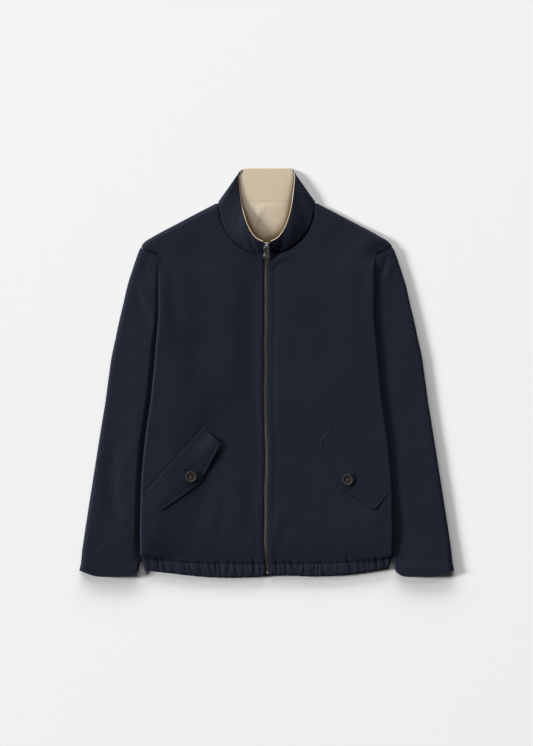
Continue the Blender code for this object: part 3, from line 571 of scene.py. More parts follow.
frontRise = [  # y, half width at which the fronts have risen over the sleeve
    (-397, 290), (-372, 275), (-352, 246), (-317, 230.7), (-268, 216.3), (-210, 198.9), (-151, 181.7),
    (-93, 164.8), (-58, 153.1), (-34, 154.0), (1, 169.7), (28, 189.2), (60, 200.0), (100, 197.0),
    (150, 199.0),
    (185, 206.0), (210, 220.0), (235, 242.0), (265, 272.0), (333, 310.0),
]
zipSway = [  # y, how far the zip wanders to the right
    (-397, 2.0), (-374, 0.8), (-352, -1.8), (-327, -3.0), (-288, -2.3), (-233, -2.2), (-200, -1.0),
    (-175, -0.5),
    (-132, -1.0), (-103, -2.2), (-70, -2.9), (-23, -3.2), (12, -2.2), (53, -3.1), (94, -1.9), (141, -2.1),
    (205, -1.8), (236, 0.0), (260, 0.0),
]
swayReach = 60.0
tuckHigh = 5.7  # under side of the back where it lies on the tucked part of a sleeve
tuckRamp = {"from": 31.0, "run": 20.0}  # inside the sleeve's fold


def stitchRise(x):
    return hemLine["rise"] * (np.abs(x) / hemLine["half"]) ** 4


def stitchY(x):
    # the hem's seam: its middle height plus a quartic rise to the sides
    return hemLine["midY"] + stitchRise(x)


def pulledByHem(x, y):
    return stitchRise(x) * ease((hemLine["pullY"] - y) / (hemLine["pullY"] - hemLine["midY"]))


def hemEdgeY(x):
    return smoothCurve(hemEdge, x)


def backUnder(x, y):
    # under side of the back: flat on the surface, and up over the tucked part of the sleeve
    return tuckHigh * ease((np.abs(x) - smoothCurve(tuckedFold, y) + tuckRamp["from"]) / tuckRamp["run"])


def swayed(points):
    # moves what lies beside the zip with its wander, which fades away from it
    moved = points.copy()
    moved[..., 0] += smoothCurve(zipSway, points[..., 1]) * bell(points[..., 0], swayReach)
    return moved


# Gathers of the hem: x at the stitching, lean toward the edge, half width, depth, reach above the seam.
gathers = {
    -1: [
        (-229, 3, 3.5, 0.7, 4), (-211, 3, 2.6, 1.3, 10), (-202, 8, 3.0, 1.2, 4), (-182, 5, 3.5, 0.6, 5),
        (-161, 8, 3.0, 1.2, 5), (-152, 9, 2.6, 1.3, 9), (-132, 8, 2.8, 1.5, 6), (-126, 11, 2.6, 1.3, 4),
        (-112, 9, 2.8, 1.6, 7), (-99, 2, 2.6, 1.7, 8), (-92, 5, 2.8, 2.0, 10), (-73, -2, 2.8, 1.3, 12),
        (-62, 6, 2.6, 1.5, 7), (-45, 2, 2.6, 0.9, 15), (-37, 3, 2.4, 0.9, 6), (-24.6, 0, 2.8, 2.1, 26),
        (-13, 0, 2.4, 0.9, 12),
    ],
    1: [
        (19, 1, 2.4, 1.3, 18), (26, 2, 2.4, 0.9, 8), (36, 3, 2.6, 1.2, 12), (49, 10, 3.0, 2.1, 15),
        (63, -2, 2.6, 0.9, 10), (73, 1, 2.6, 0.9, 8), (86, 4, 3.0, 0.5, 4), (94, 0, 2.6, 1.2, 7),
        (102, -3, 2.4, 1.2, 8), (108, 7, 2.6, 1.4, 15), (128, 2, 3.2, 0.5, 8), (140, 3, 3.0, 0.6, 10),
        (159, 8, 2.8, 1.9, 24), (166, 6, 2.4, 1.2, 6), (179, 2, 2.8, 0.9, 9), (191, 5, 2.6, 1.1, 8),
        (200, 3, 2.6, 0.9, 5), (214, 2, 2.8, 1.4, 15), (228, 6, 2.8, 1.3, 6),
    ],
}


def gatherTroughs(x, y, side):
    # depth of the gathers at a place, on the hem below its seam and as puckers in the body above it
    above = y - stitchY(x)
    down = np.clip(-above / 22.0, 0.0, 1.0)
    total = np.zeros(np.broadcast(x, y).shape)
    for at, lean, half, depth, reach in gathers[side]:
        middle = at + lean * down - 0.12 * lean * np.clip(above / reach, 0.0, 1.0) * reach / 4
        width = half * np.where(above > 0, 1.0 + 0.5 * np.clip(above / reach, 0.0, 1.0), 1.0 + 0.25 * down)
        upper = np.clip(1.0 - above / reach, 0.0, 1.0) ** 1.6
        lower = 1.0 - 0.55 * ease((down - 0.35) / 0.65)
        total += depth * np.where(above > 0, upper, lower) * bell(x - middle, width)
    return total


puckers = {"deep": 0.22, "reach": 3.2, "pitch": 4.1, "swing": 1.3, "swingRun": 9.0}


def seamPuckers(x, y):
    # the short even pinches that each stitch of the hem makes, fading away from the line
    phase = 2 * math.pi * x / puckers["pitch"] + puckers["swing"] * np.sin(x / puckers["swingRun"])
    return puckers["deep"] * bell(y - stitchY(x), puckers["reach"]) * (np.sin(phase) - 1.0)


# Pocket flaps' places.

pocketSeam = {"deep": 0.45, "half": 1.5}  # groove along which each flap is set in
flapKeys = {  # ends of the sewn edge, shares along it of the point and the eye, the rest in millimetres
    -1: {
        "upper": (122.5, -106.5), "lower": (236.5, -233.5), "pointAt": 0.495, "lean": 0.08, "endDeep": 47.5,
        "pointDeep": 68.5, "buttonIn": 47.0, "eyeAt": 0.50, "eyeIn": 28.0, "lift": 1.7, "rounds": (2.5, 2.5),
    },
    1: {
        "upper": (126.9, -104.7), "lower": (238.0, -234.0), "pointAt": 0.530, "lean": 0.20, "endDeep": 42.5,
        "pointDeep": 64.5, "buttonIn": 44.5, "eyeAt": 0.569, "eyeIn": 24.7, "lift": -1.4, "rounds": (2.5, 6),
    },
}


def flapFrame(side):
    # upper end of the sewn edge, direction along it, direction down the flap, and its length
    start, end = (np.array(flapKeys[side][corner]) * (side, 1.0) for corner in ("upper", "lower"))
    length = float(np.linalg.norm(end - start))
    along = (end - start) / length
    down = np.array([along[1], -along[0]]) * side
    return start, along, -down if down[1] > 0 else down, length


def flapLong(side):
    return flapFrame(side)[3]


# Fronts.

front = {
    "zipHalf": 4.6, "flat": 7.5, "raised": {-1: 11.8, 1: 11.6}, "raiseRun": {-1: 95.0, 1: 150.0},
    "foldRun": 3.2, "shoulderRun": 9.0, "shoulderEnd": 2.3,
    "armholeHigh": 7.5, "armholeRun": {-1: 90.0, 1: 34.0},
    "rows": 272, "zipColumns": 20, "plainColumns": 112, "foldColumns": 16, "edgeBand": 12.0,
    "placket": 10.5, "placketThick": 0.45, "edgeStitch": 2.0, "placketStitch": 8.7,
    "zipEdge": 0.9, "zipRound": 1.2, "hemDip": 0.9, "blouse": 0.9,
    "waver": 0.22, "calmAtZip": 22.0, "calmAtHem": 30.0, "clearOfBack": 0.4,
}
frontGrooves = {  # depth and half width of the groove along each seam
    "neck": (0.6, 1.5), "armhole": (0.35, 1.6), "shoulder": (0.45, 0.9), "hem": (0.7, 1.5),
    "edge stitch": (0.22, 0.7), "placket stitch": (0.34, 0.7),
}
frontKeys = [  # neck or zip edge x, y, then side or shoulder edge x, y, and the steps to the next row
    (4.6, -373.5, 244.9, -373.5, 3), (4.6, -330, 245.5, -322, 3), (4.6, -235, 243.8, -235, 3),
    (4.6, -138, 236.3, -138, 3), (4.6, -44, 223.3, -44, 3), (4.6, 40, 215.2, 45, 3),
    (4.6, 120, 209.4, 125, 2),
    (4.6, 190, 209.6, 188, 2), (4.6, 222, 210.2, 214, 1), (5.3, 230.6, 210.8, 224, 1),
    (19.5, 231.3, 212.5, 230.9, 1), (35.1, 235.5, 228.2, 236.9, 1), (58.9, 248.7, 243.6, 243.0, 1),
    (73.6, 265.6, 238.0, 252.0, 1), (83.8, 281.0, 214.5, 266.7, 1), (89.6, 296.0, 176.0, 287.2, 1),
    (92.6, 308.0, 143.0, 304.6, 1), (94.6, 327.8, 98.4, 327.8, 0),
]
neckFrom, armholeFrom, armholeTo = 9, 10, 12  # key rows: start of the neck seam, ends of the armhole seam
sideEnd = {  # y, height at which a front's side turns in
    -1: [(-397, 2.8), (-374, 2.8), (-366, 5.6), (-357, 8.0), (45, 8.0), (100, 8.5), (245, 8.5)],
    1: [
        (-397, 2.8), (-374, 2.8), (-366, 5.6), (-357, 8.0), (45, 8.0), (100, 7.2), (190, 7.4), (230, 8.4),
        (245, 8.5),
    ],
}
frontCreases = {
    -1: [
        (-186, 236, -182, 84, 2, 15, -1.2, 0.2), (-178, 120, -164, 40, 0, 17, -0.6, 0),
        (-146, 78, -138, -56, 3, 20, -0.8, 0.2),
        (-84, 240, -72, -124, 6, 40, 2.0, -0.1), (-32, 170, -28, -120, 0, 22, -0.9, 0),
        (-98, -8, -46, -94, 4, 20, -0.9, 0.2),
        (-112, -40, -88, -116, 0, 22, -0.9, 0), (-142, 262, -126, 196, 4, 20, -0.6, 0),
        (-112, 232, -104, 60, 2, 24, 0.3, 0),
        (-160, 196, -150, 60, 0, 20, 0.3, 0), (-206, 20, -214, -150, 0, 18, -0.4, 0),
        (-104, -268, -122, -318, 0, 20, 0.6, 0.3),
        (-150, -262, -160, -330, 0, 22, 0.4, 0), (-62, -130, -46, -300, 0, 24, 0.9, 0),
        (-28, -200, -30, -330, 0, 14, -0.5, 0),
        (-206, -262, -212, -338, 0, 16, 0.35, 0), (-180, -40, -196, -150, 0, 24, 0.4, 0),
        (-118, -190, -120, -300, 0, 18, -0.7, 0),
        (-88, -240, -86, -330, 0, 9, -0.4, 0),
    ],
    1: [
        (12, 210, 46, 228, 2, 4.5, 0.8, 0.2), (12, 200, 36, 214, 1, 4.0, -0.7, 0),
        (14, 226, 60, 240, 2, 4.0, -0.5, 0),
        (58, 236, 54, -130, 3, 60, 2.4, 0.3), (140, 246, 136, 90, 0, 30, -0.4, 0),
        (88, 84, 84, -20, 2, 20, 0.6, 0.3),
        (112, 66, 98, -16, 0, 15, -0.4, 0), (62, 78, 50, -60, 0, 22, -0.4, 0),
        (188, 226, 186, 90, -2, 14, -0.7, -0.2),
        (156, 200, 160, 20, 0, 28, 0.3, 0), (24, 60, 30, -160, 0, 16, 0.4, 0),
        (100, -228, 104, -312, 2, 18, 0.6, -0.3),
        (118, -230, 122, -300, 0, 14, -0.35, 0), (12, -340, 34, -262, 3, 8, 0.5, 0.3),
        (22, -352, 52, -290, 3, 9, -0.5, 0),
        (60, -100, 54, -260, 0, 24, 0.5, 0), (160, -262, 158, -330, 0, 20, 0.4, 0),
        (206, -262, 212, -338, 0, 16, 0.4, 0),
        (196, 10, 206, -150, 0, 18, -0.4, 0), (140, 10, 150, -90, 0, 24, 0.3, 0),
        (224, -286, 228, -352, 0, 10, -0.3, 0),
    ],
}


def frontLines(side):
    # side fold, shoulder fold, neck seam and armhole seam of a front, as lines of points
    fine, at, keys = keyCurves(frontKeys, 341)
    outer = fine[:, 2:4].copy()
    outer[:, 1] += pulledByHem(outer[:, 0], outer[:, 1])
    lines = {
        "side": outer[at <= keys[armholeFrom]][::3],
        "shoulder": outer[at >= keys[armholeTo]],
        "neck": fine[at >= keys[neckFrom], 0:2],
        "armhole": outer[(at >= keys[armholeFrom]) & (at <= keys[armholeTo])],
    }
    return {name: line * (side, 1.0) for name, line in lines.items()}


frontLinesOf = {side: frontLines(side) for side, _ in sides}


def frontTop(x, y, side):
    # height of a front's outer side: plain and raised levels, creases, gathers, then folded down at its edges
    lines = frontLinesOf[side]
    ax = np.abs(x)
    fromRise = ax - smoothCurve(frontRise, y) + front["raiseRun"][side] - 5.0
    z = front["flat"] + (front["raised"][side] - front["flat"]) * ease(fromRise / front["raiseRun"][side])
    above = y - stitchY(x)
    nearHem = 1.0 - ease(above / front["calmAtHem"])
    nearZip = ease((ax - front["zipHalf"]) / front["calmAtZip"])
    z = z + creaseSum(x, y, frontCreases[side]) * (0.2 + 0.8 * nearZip) * (1.0 - nearHem)
    z = z + front["blouse"] * ease((above - 8.0) / 40.0) * (1.0 - ease((above - 60.0) / 90.0)) * nearZip
    z = z + front["waver"] * ripple(x, y, 11 + side, 7, 34.0, 90.0) * nearZip * (1.0 - nearHem)
    z = z - front["hemDip"] * nearHem - gatherTroughs(x, y, side) * (above < 60.0) + seamPuckers(x, y)
    z = np.maximum(z, backUnder(x, y) + 2 * clothThick + front["clearOfBack"])
    armhole = front["armholeHigh"]
    z = armhole + (z - armhole) * ease(distanceTo(x, y, lines["armhole"]) / front["armholeRun"][side] + 0.04)
    sideAt = smoothCurve(sideEnd[side], y)
    for name, end, run in (("side", sideAt, "foldRun"), ("shoulder", front["shoulderEnd"], "shoulderRun")):
        z = np.minimum(z, end + (z - end) * quarterRound(distanceTo(x, y, lines[name]), front[run]))
    return z


def seamGroove(name, distance):
    deep, half = frontGrooves[name]
    return deep * bell(distance, half)


def frontRelief(x, y, side):
    # sewing relief: turned and stitched zip edge, seam grooves at neck, shoulder, armhole, hem and pocket
    lines = frontLinesOf[side]
    fromZip = np.abs(x) - front["zipHalf"]
    belowNeck = 1.0 - ease((y - 224.0) / 8.0)
    turned = front["placketThick"] * (1.0 - ease((fromZip - front["placket"] + 0.6) / 1.2))
    turned = turned - seamGroove("edge stitch", fromZip - front["edgeStitch"])
    turned = turned - seamGroove("placket stitch", fromZip - front["placketStitch"])
    turned = turned - front["zipEdge"] * (1.0 - quarterRound(fromZip, front["zipRound"]))
    twist = np.sin(2 * math.pi * (y + 0.8 * fromZip) / 7.5 + 0.8 * np.sin(y / 17.0))
    turned = turned + 0.13 * twist * bell(fromZip - 5.2, 2.4)
    z = turned * belowNeck - seamGroove("neck", distanceTo(x, y, lines["neck"])) * (1.0 - belowNeck)
    z = z - seamGroove("armhole", distanceTo(x, y, lines["armhole"]))
    drop = np.linspace(1.5, 6.0, len(lines["shoulder"]))[:, None]  # the sewn seam lies below the fold
    z = z - seamGroove("shoulder", distanceTo(x, y, lines["shoulder"] - drop * (0.0, 1.0)))
    z = z - seamGroove("hem", y - stitchY(x))
    start, along, down, length = flapFrame(side)
    d = (x - start[0]) * down[0] + (y - start[1]) * down[1]
    p = ((x - start[0]) * along[0] + (y - start[1]) * along[1]) / length
    pocket = ease((p + 0.03) / 0.05) * ease((1.03 - p) / 0.05)
    return z - pocketSeam["deep"] * bell(d + 0.6, pocketSeam["half"]) * pocket


def frontSurface(x, y, side):
    return frontTop(x, y, side) + frontRelief(x, y, side)


def frontGrid(side):
    # rows from the zip or neck edge to the side or shoulder edge, closer together near both
    rows, _ = evenRows(frontKeys, front["rows"], ((0, 1), (2, 3)))
    start, end = rows[:, None, 0:2], rows[:, None, 2:4]
    length = np.linalg.norm(end - start, axis=-1)
    band = front["edgeBand"] * np.minimum(1.0, 0.4 * length / front["edgeBand"])
    nearZip = band * np.linspace(0.0, 1.0, front["zipColumns"])
    nearFold = length - band * np.linspace(1.0, 0.0, front["foldColumns"]) ** 2
    plain = band + (length - 2 * band) * np.linspace(0.0, 1.0, front["plainColumns"] + 2)[1:-1]
    at = np.concatenate([nearZip, plain, nearFold], axis=1) / length
    grid = start + at[..., None] * (end - start)
    x, y = side * grid[..., 0], grid[..., 1]
    return x, y + pulledByHem(x, y)


def makeFront(side, word):
    # a shell under the outer side that stays above the back
    x, y = frontGrid(side)
    outer = np.stack([x, y, frontSurface(x, y, side)], axis=-1)
    inner = outer + side * shell * gridNormals(outer)
    low = backUnder(inner[..., 0], inner[..., 1]) + clothThick + seamGap
    inner[..., 2] = np.maximum(np.minimum(inner[..., 2], outer[..., 2] - 0.1), low)
    piece = clothWall(f"front_{word}_cloth", swayed(outer), swayed(inner), navyCloth, outer[..., :2])
    standFor(piece, f"front_{word}")


for side, word in sides:
    makeFront(side, word)
print("fronts made")


# Back, with its flat under side.

back = {"columns": 91, "rows": 190, "roundIn": 4.0, "curl": 0.9, "calm": 30.0, "thinner": 0.25}
backKeys = [  # y, half width, steps to the next row
    (-373.5, 244.6, 2), (-342, 245.4, 2), (-288, 244.4, 2), (-235, 243.5, 2), (-181, 240.7, 2),
    (-138, 236.0, 2),
    (-93, 229.8, 2), (-44, 223.0, 2), (14, 217.1, 1), (35, 215.3, 1), (47, 210.5, 1), (59, 206.7, 2),
    (106, 206.7, 2), (190, 206.7, 1), (219, 207.6, 1), (229.4, 211.0, 1), (236.0, 227.2, 1),
    (242.6, 243.2, 1),
    (248, 240.4, 1), (257.6, 231.0, 1), (277.5, 194.0, 1), (297, 158.0, 1), (316.5, 121.8, 1), (328, 97.0, 1),
    (332.8, 91.5, 0),
]
backCreases = [  # shallow hollows of the under side, all rising off the surface
    (-120, 220, -60, 60, 8, 16, 0.7, 0), (90, 200, 130, 20, -6, 18, 0.6, 0),
    (-60, -60, -110, -230, 5, 15, 0.7, 0),
    (20, 110, 30, -90, 4, 14, 0.5, 0), (70, -120, 110, -300, -5, 16, 0.7, 0),
    (-150, -120, -140, -320, 0, 14, 0.6, 0),
    (0, -240, -20, -350, 0, 12, 0.5, 0), (150, 240, 80, 255, 4, 10, 0.6, 0),
    (-150, 244, -70, 262, -4, 10, 0.6, 0),
]


def makeBack():
    # under side with hollows and turned-up edges, and the plain upper side above it
    rows, _ = evenRows(backKeys, back["rows"], ((1, 0),))
    x = rows[:, 1:2] * np.linspace(-1, 1, back["columns"])
    y = np.repeat(rows[:, :1], back["columns"], axis=1)
    y = y + pulledByHem(x, y)
    fromEdge = rows[:, 1:2] - np.abs(x)
    under = backUnder(x, y)
    curl = 1.0 - quarterRound(fromEdge, back["roundIn"])
    hollow = np.maximum(creaseSum(x, y, backCreases), 0.0) * ease(fromEdge / back["calm"])
    low = np.stack([x, y, under + back["curl"] * curl * (under > 3.0) + hollow], axis=-1)
    high = np.stack([x, y, under + clothThick - back["thinner"] + 0.6 * hollow], axis=-1)
    standFor(clothWall("back_cloth", high, low, navyCloth, low[..., :2]), "back")


makeBack()
print("back made")


# Sleeves, laid flat with their inner part tucked under the body.

sleeve = {
    "high": 7.6, "roll": 0.5, "rollRun": 13.0, "rise": {-1: 13.0, 1: 92.0}, "fold": 8.0, "sag": 12.0,
    "lean": 1.4, "full": 5, "rows": 235, "turn": 10, "plainLow": 22, "plainTop": 84, "bend": 8,
    "hemWide": 20.0, "hemThick": 0.3, "hemGroove": 0.4, "pinch": 0.13, "waver": 0.18,
    "seamDeep": 0.3, "seamHalf": 1.8, "grain": math.radians(-9.0),
}
sleeveCrown = {-1: (2.8, 0.15, 0.0), 1: (0.0, 0.50, 1.2)}  # swell, its place across, fall to the outer edge
sleeveEdge = {  # y, height of a sleeve's upper side where it goes under the body
    -1: [(-397, 7.6), (-372, 7.4), (-356, 4.8), (56, 4.8), (76, 6.0), (100, 7.2), (245, 7.2)],
    1: [
        (-397, 7.6), (-372, 7.4), (-356, 4.8), (56, 4.8), (100, 5.5), (180, 5.8), (215, 6.6), (232, 7.2),
        (245, 7.2),
    ],
}
sleeveKeys = [  # outer edge x, y, inner edge of the top x, y, of the under side x, y, how far closed, steps
    (244.7, 242.0, 213.2, 228.8, 213.2, 228.8, 0, 1), (247.7, 235.6, 206.0, 216.0, 208.6, 217.5, 0, 1),
    (252.5, 222.9, 204.4, 197.0, 207.1, 197.0, 0, 1), (260.3, 199.5, 204.4, 172.0, 207.1, 172.0, 0, 1),
    (269.5, 170.2, 204.4, 143.0, 207.1, 143.0, 0, 1), (278.5, 131.2, 204.8, 113.0, 207.1, 113.0, 0, 1),
    (283.7, 109.8, 207.3, 98.0, 207.1, 98.0, 0, 1), (289.0, 86.4, 207.5, 78.0, 207.1, 78.0, 0, 1),
    (292.9, 66.9, 207.4, 62.0, 207.1, 62.0, 0.4, 1), (296.8, 49.3, 202.5, 49.3, 202.5, 49.3, 1, 1),
    (301.3, 27.9, 189.2, 27.9, 189.2, 27.9, 1, 1), (305.2, 0.6, 169.7, 0.6, 169.7, 0.6, 1, 1),
    (309.9, -34.5, 154.5, -34.5, 154.5, -34.5, 1, 1), (313.0, -57.9, 153.4, -57.9, 153.4, -57.9, 1, 1),
    (318.8, -93.0, 164.8, -93.0, 164.8, -93.0, 1, 2), (337.3, -210.0, 198.9, -210.0, 198.9, -210.0, 1, 2),
    (353.9, -317.3, 230.7, -317.3, 230.7, -317.3, 1, 1), (358.6, -350.4, 242.6, -350.4, 242.6, -350.4, 1, 1),
    (360.4, -369.9, 248.4, -369.9, 248.4, -369.9, 1, 1), (363.9, -386.5, 251.5, -386.5, 251.5, -386.5, 1, 0),
]
sleeveOuter = [(row[1], row[0]) for row in reversed(sleeveKeys)]
sleeveCreases = {  # given for the sleeve's own side at +X
    -1: [
        (246, 172, 212, 108, 4, 8, 1.2, 0.3), (252, 150, 222, 88, 2, 8, -1.1, 0),
        (290, -130, 284, -300, 14, 14, -1.5, 0.2),
        (276, -290, 248, -352, -6, 9, -1.7, 0.2), (262, 96, 250, -60, 4, 16, 0.5, 0),
        (300, 20, 312, -140, 3, 18, -0.5, 0),
        (250, -60, 262, -180, 0, 12, 0.6, 0), (322, -200, 334, -330, 0, 14, 0.5, 0),
        (240, 214, 226, 190, 2, 5, -0.7, 0),
        (300, -330, 330, -352, 2, 8, 0.4, 0),
    ],
    1: [
        (232, 226, 220, 188, 3, 5, -0.8, 0), (240, 216, 232, 176, 2, 6, 0.6, 0),
        (262, 110, 262, -60, 4, 22, 0.5, 0),
        (296, 10, 306, -160, 3, 20, -0.4, 0), (276, -130, 282, -300, -8, 18, 0.6, 0),
        (262, -250, 262, -340, 4, 10, -0.6, 0),
        (316, -240, 330, -340, 0, 16, 0.5, 0), (288, -336, 336, -356, 2, 8, 0.35, 0),
    ],
}


def sleeveTop(x, y, side):
    # height of a sleeve's upper side before its edges turn down
    edge = smoothCurve(sleeveEdge[side], y)
    risen = ease((np.abs(x) - smoothCurve(sideFold, y) - 0.5) / sleeve["rise"][side])
    fromFold = smoothCurve(sleeveOuter, y) - np.abs(x) - sleeve["fold"]
    return edge + (sleeve["high"] - edge + sleeve["roll"] * bell(fromFold, sleeve["rollRun"])) * risen


def halfSection(outerPoint, target, closed, up, plainCount, side):
    # from the outer fold inward: a quarter turn, the plain cloth, then the inner fold
    # returns x, y, z, share of the way in, and how far each point has turned up or down
    length = np.linalg.norm(target - outerPoint, axis=1)[:, None]
    away = (target - outerPoint) / length
    fold = np.minimum(sleeve["fold"], 0.3 * length)
    height = sleeveTop(target[:, 0], target[:, 1], side)[:, None]
    bend = 0.5 * height
    turn = np.linspace(0, math.pi / 2, sleeve["turn"])[None]
    share = np.linspace(0, 1, plainCount + 2)[None, 1:-1]
    gap = np.arcsin(seamGap / height)
    swing = (math.pi / 2 - gap) * np.linspace(0, 1, sleeve["bend"])[None]
    ends = (1 - closed) * np.linspace(0, 1, sleeve["bend"])[None] + closed * np.sin(swing)
    plain = fold + (length - bend - fold) * share
    run = np.concatenate([fold * (1 - np.cos(turn)), plain, length - bend + bend * ends], axis=1)
    ones = np.ones_like(share) + 0 * fold
    rise = np.concatenate([np.sin(turn) + 0 * fold, ones, 1 - closed * (1 - np.cos(swing))], axis=1)
    x = outerPoint[:, :1] + away[:, :1] * run
    y = outerPoint[:, 1:] + away[:, 1:] * run
    z = 0.5 * sleeveTop(x, y, side) * (1 + up * rise)
    return np.stack([x, y, z, np.minimum(run / length, 1.0), rise], axis=-1)


def sleeveGrid(side):
    # sections from the under side's inner fold round to the top's inner edge, with crown, creases and seams
    rows, place = evenRows(sleeveKeys, sleeve["rows"], ((0, 1),))
    closed = rows[:, 6:7]
    low = halfSection(rows[:, 0:2], rows[:, 4:6], closed, -1.0, sleeve["plainLow"], side)
    top = halfSection(rows[:, 0:2], rows[:, 2:4], closed, 1.0, sleeve["plainTop"], side)
    onTop = np.concatenate([np.zeros(low.shape[1] - 1), np.ones(top.shape[1])])
    grid = np.concatenate([low[:, :0:-1], top], axis=1)
    bow = 1 - np.abs(2 * grid[..., 3] ** sleeve["lean"] - 1) ** sleeve["full"]
    grid[..., 1] -= sleeve["sag"] * (place ** 6)[:, None] * bow
    toEnd = np.linalg.norm(np.diff(grid[..., :2], axis=0), axis=-1)
    toEnd = np.concatenate([np.cumsum(toEnd[::-1], axis=0)[::-1], np.zeros((1, grid.shape[1]))])
    x, y = grid[..., 0], grid[..., 1]
    soft = grid[..., 4] ** 3 * onTop
    wide = smoothCurve(sleeveOuter, y) - sleeve["fold"] - smoothCurve(sideFold, y)
    out = np.clip((x - smoothCurve(sideFold, y)) / wide, 0.0, 1.0)
    high, highAt, fall = sleeveCrown[side]
    fromArmhole = distanceTo(x, y, frontLinesOf[1]["armhole"])
    fromStitch = toEnd - sleeve["hemWide"]
    crown = high * ease(out / highAt) * (1 - out) - fall * out
    relief = crown * ease(toEnd / 90.0) * ease(fromArmhole / 70.0)
    relief = relief + creaseSum(x, y, sleeveCreases[side]) * ease(toEnd / 40.0)
    relief = relief + sleeve["waver"] * ripple(x, y, 31 + side, 7, 30.0, 80.0) * ease(toEnd / 30.0)
    relief = relief + sleeve["hemThick"] * (1 - ease((fromStitch - 0.6) / 1.2))
    relief = relief - sleeve["hemGroove"] * bell(fromStitch, 0.9)
    pinch = np.sin(2 * math.pi * x / 4.4 + 1.5 * np.sin(x / 11.0)) - 1.0
    relief = relief + sleeve["pinch"] * pinch * bell(fromStitch, 3.0)
    relief = relief - sleeve["seamDeep"] * bell(fromArmhole, sleeve["seamHalf"])
    return np.stack([x, y, np.maximum(grid[..., 2] + relief * soft, 0.0)], axis=-1), toEnd, onTop


def makeSleeve(side, word):
    # made for the side at +X and mirrored; the threads run along the sleeve, turned by its lean
    outer = sleeveGrid(side)[0]
    inner = outer + shell * gridNormals(outer)
    inner[..., 2] = np.maximum(inner[..., 2], shell - 0.1)
    cos, sin = math.cos(sleeve["grain"]), math.sin(sleeve["grain"])
    turned = outer[..., :2] @ np.array([(cos, sin), (-sin, cos)])
    flip = (side, 1.0, 1.0)
    piece = clothWall(f"sleeve_{word}_cloth", outer * flip, inner * flip, navyCloth, turned)
    standFor(piece, f"sleeve_{word}")


for side, word in sides:
    makeSleeve(side, word)
print("sleeves made")


# Elasticated hem.

hem = {
    "columns": 220, "rows": 22, "top": 6.75, "sideEnd": 5.2, "swell": 0.6, "thick": 1.7, "under": 3.3,
    "deep": 24.0, "rolled": 0.14, "edgeRound": 3.4, "sideRound": 7.0, "waver": 0.25,
    "groove": 0.3, "grooveHalf": 1.8, "zipEdge": 0.8, "zipStitch": 0.3,
}
hemBack = {"columns": 321, "rows": 12, "inside": 0.4, "thick": 1.75, "wave": 14.6, "lift": 0.35}


def hemTop(x, y, side, q):
    # the casing swells between its stitching and its edge, which rolls under; the gathers cut into it
    arch = np.sin(math.pi * np.clip(q, 0.0, 1.0))
    z = hem["top"] + hem["swell"] * arch ** 1.3 - gatherTroughs(x, y, side) * (0.35 + 0.65 * arch ** 0.6)
    z = z + hem["waver"] * ripple(x, y, 51 + side, 5, 9.0, 22.0) * arch + 0.8 * seamPuckers(x, y)
    z = z - hem["groove"] * bell(q * hem["deep"], hem["grooveHalf"])
    end = hem["under"] + 1.3
    return end + (z - end) * quarterRound((1.0 - q) * hem["deep"], hem["edgeRound"])


def makeHemFront(side, word):
    # rows run from the stitching to the edge, closer together where it rolls under
    u = np.linspace(0, 1, hem["columns"])
    plain = np.linspace(0, 1 - hem["rolled"], hem["rows"] - 6)[:-1]
    q = np.concatenate([plain, 1 - hem["rolled"] * np.linspace(1, 0, 7) ** 2])[:, None]
    xTop = front["zipHalf"] + (hemLine["topEnd"] - front["zipHalf"]) * u
    xLow = front["zipHalf"] + (hemLine["lowEnd"] - front["zipHalf"]) * u
    x = side * (xTop + (xLow - xTop) * q)
    yTop = stitchY(xTop) - 0.1
    edgeY = hemEdgeY(side * xLow)
    yLow = edgeY + 0.9 * gatherTroughs(side * xLow, edgeY + 6.0, side)
    y = yTop + (yLow - yTop) * q
    z = hemTop(x, y, side, q)
    ax = np.abs(x)
    z = hem["sideEnd"] + (z - hem["sideEnd"]) * quarterRound(ax[:, -1:] - ax, hem["sideRound"])
    fromZip = ax - front["zipHalf"]
    z = z - hem["zipEdge"] * (1.0 - quarterRound(fromZip, front["zipRound"]))
    for inward in (front["edgeStitch"], front["placketStitch"]):
        z = z - hem["zipStitch"] * bell(fromZip - inward, 0.7)
    outer = np.stack([x, y, z], axis=-1)
    inner = outer - (0.0, 0.0, hem["thick"])
    inner[..., 2] = np.minimum(np.maximum(inner[..., 2], hem["under"]), outer[..., 2] - 0.15)
    piece = clothWall(f"hem_{word}_cloth", swayed(outer), swayed(inner), navyCloth, outer[..., :2])
    standFor(piece, f"hem_{word}")


def makeHemBack():
    # flat on the surface at its stitching and its edge, with shallow waves between
    u = np.linspace(-1, 1, hemBack["columns"])
    q = np.linspace(0, 1, hemBack["rows"])[:, None]
    xTop, xLow = (hemLine["topEnd"] - hemBack["inside"]) * u, (hemLine["lowEnd"] - hemBack["inside"]) * u
    x = xTop + (xLow - xTop) * q
    yTop = stitchY(xTop) - 0.2
    y = yTop + (hemEdgeY(xLow) + 0.3 - yTop) * q
    wave = np.sin(2 * math.pi * (x / hemBack["wave"] + 0.35 * np.sin(x / 31.0)))
    lift = hemBack["lift"] * (1 + wave) * np.sin(math.pi * q) ** 0.7
    low = np.stack([x, y, 0.5 * lift], axis=-1)
    high = np.stack([x, y, hemBack["thick"] + lift - 0.5 * (1 - np.sin(math.pi * q) ** 0.4)], axis=-1)
    standFor(clothWall("hem_back_cloth", high, low, navyCloth, low[..., :2]), "hem_back")


for side, word in sides:
    makeHemFront(side, word)
makeHemBack()
print("hem made")


# Collar, its beige facing and the neck lining.

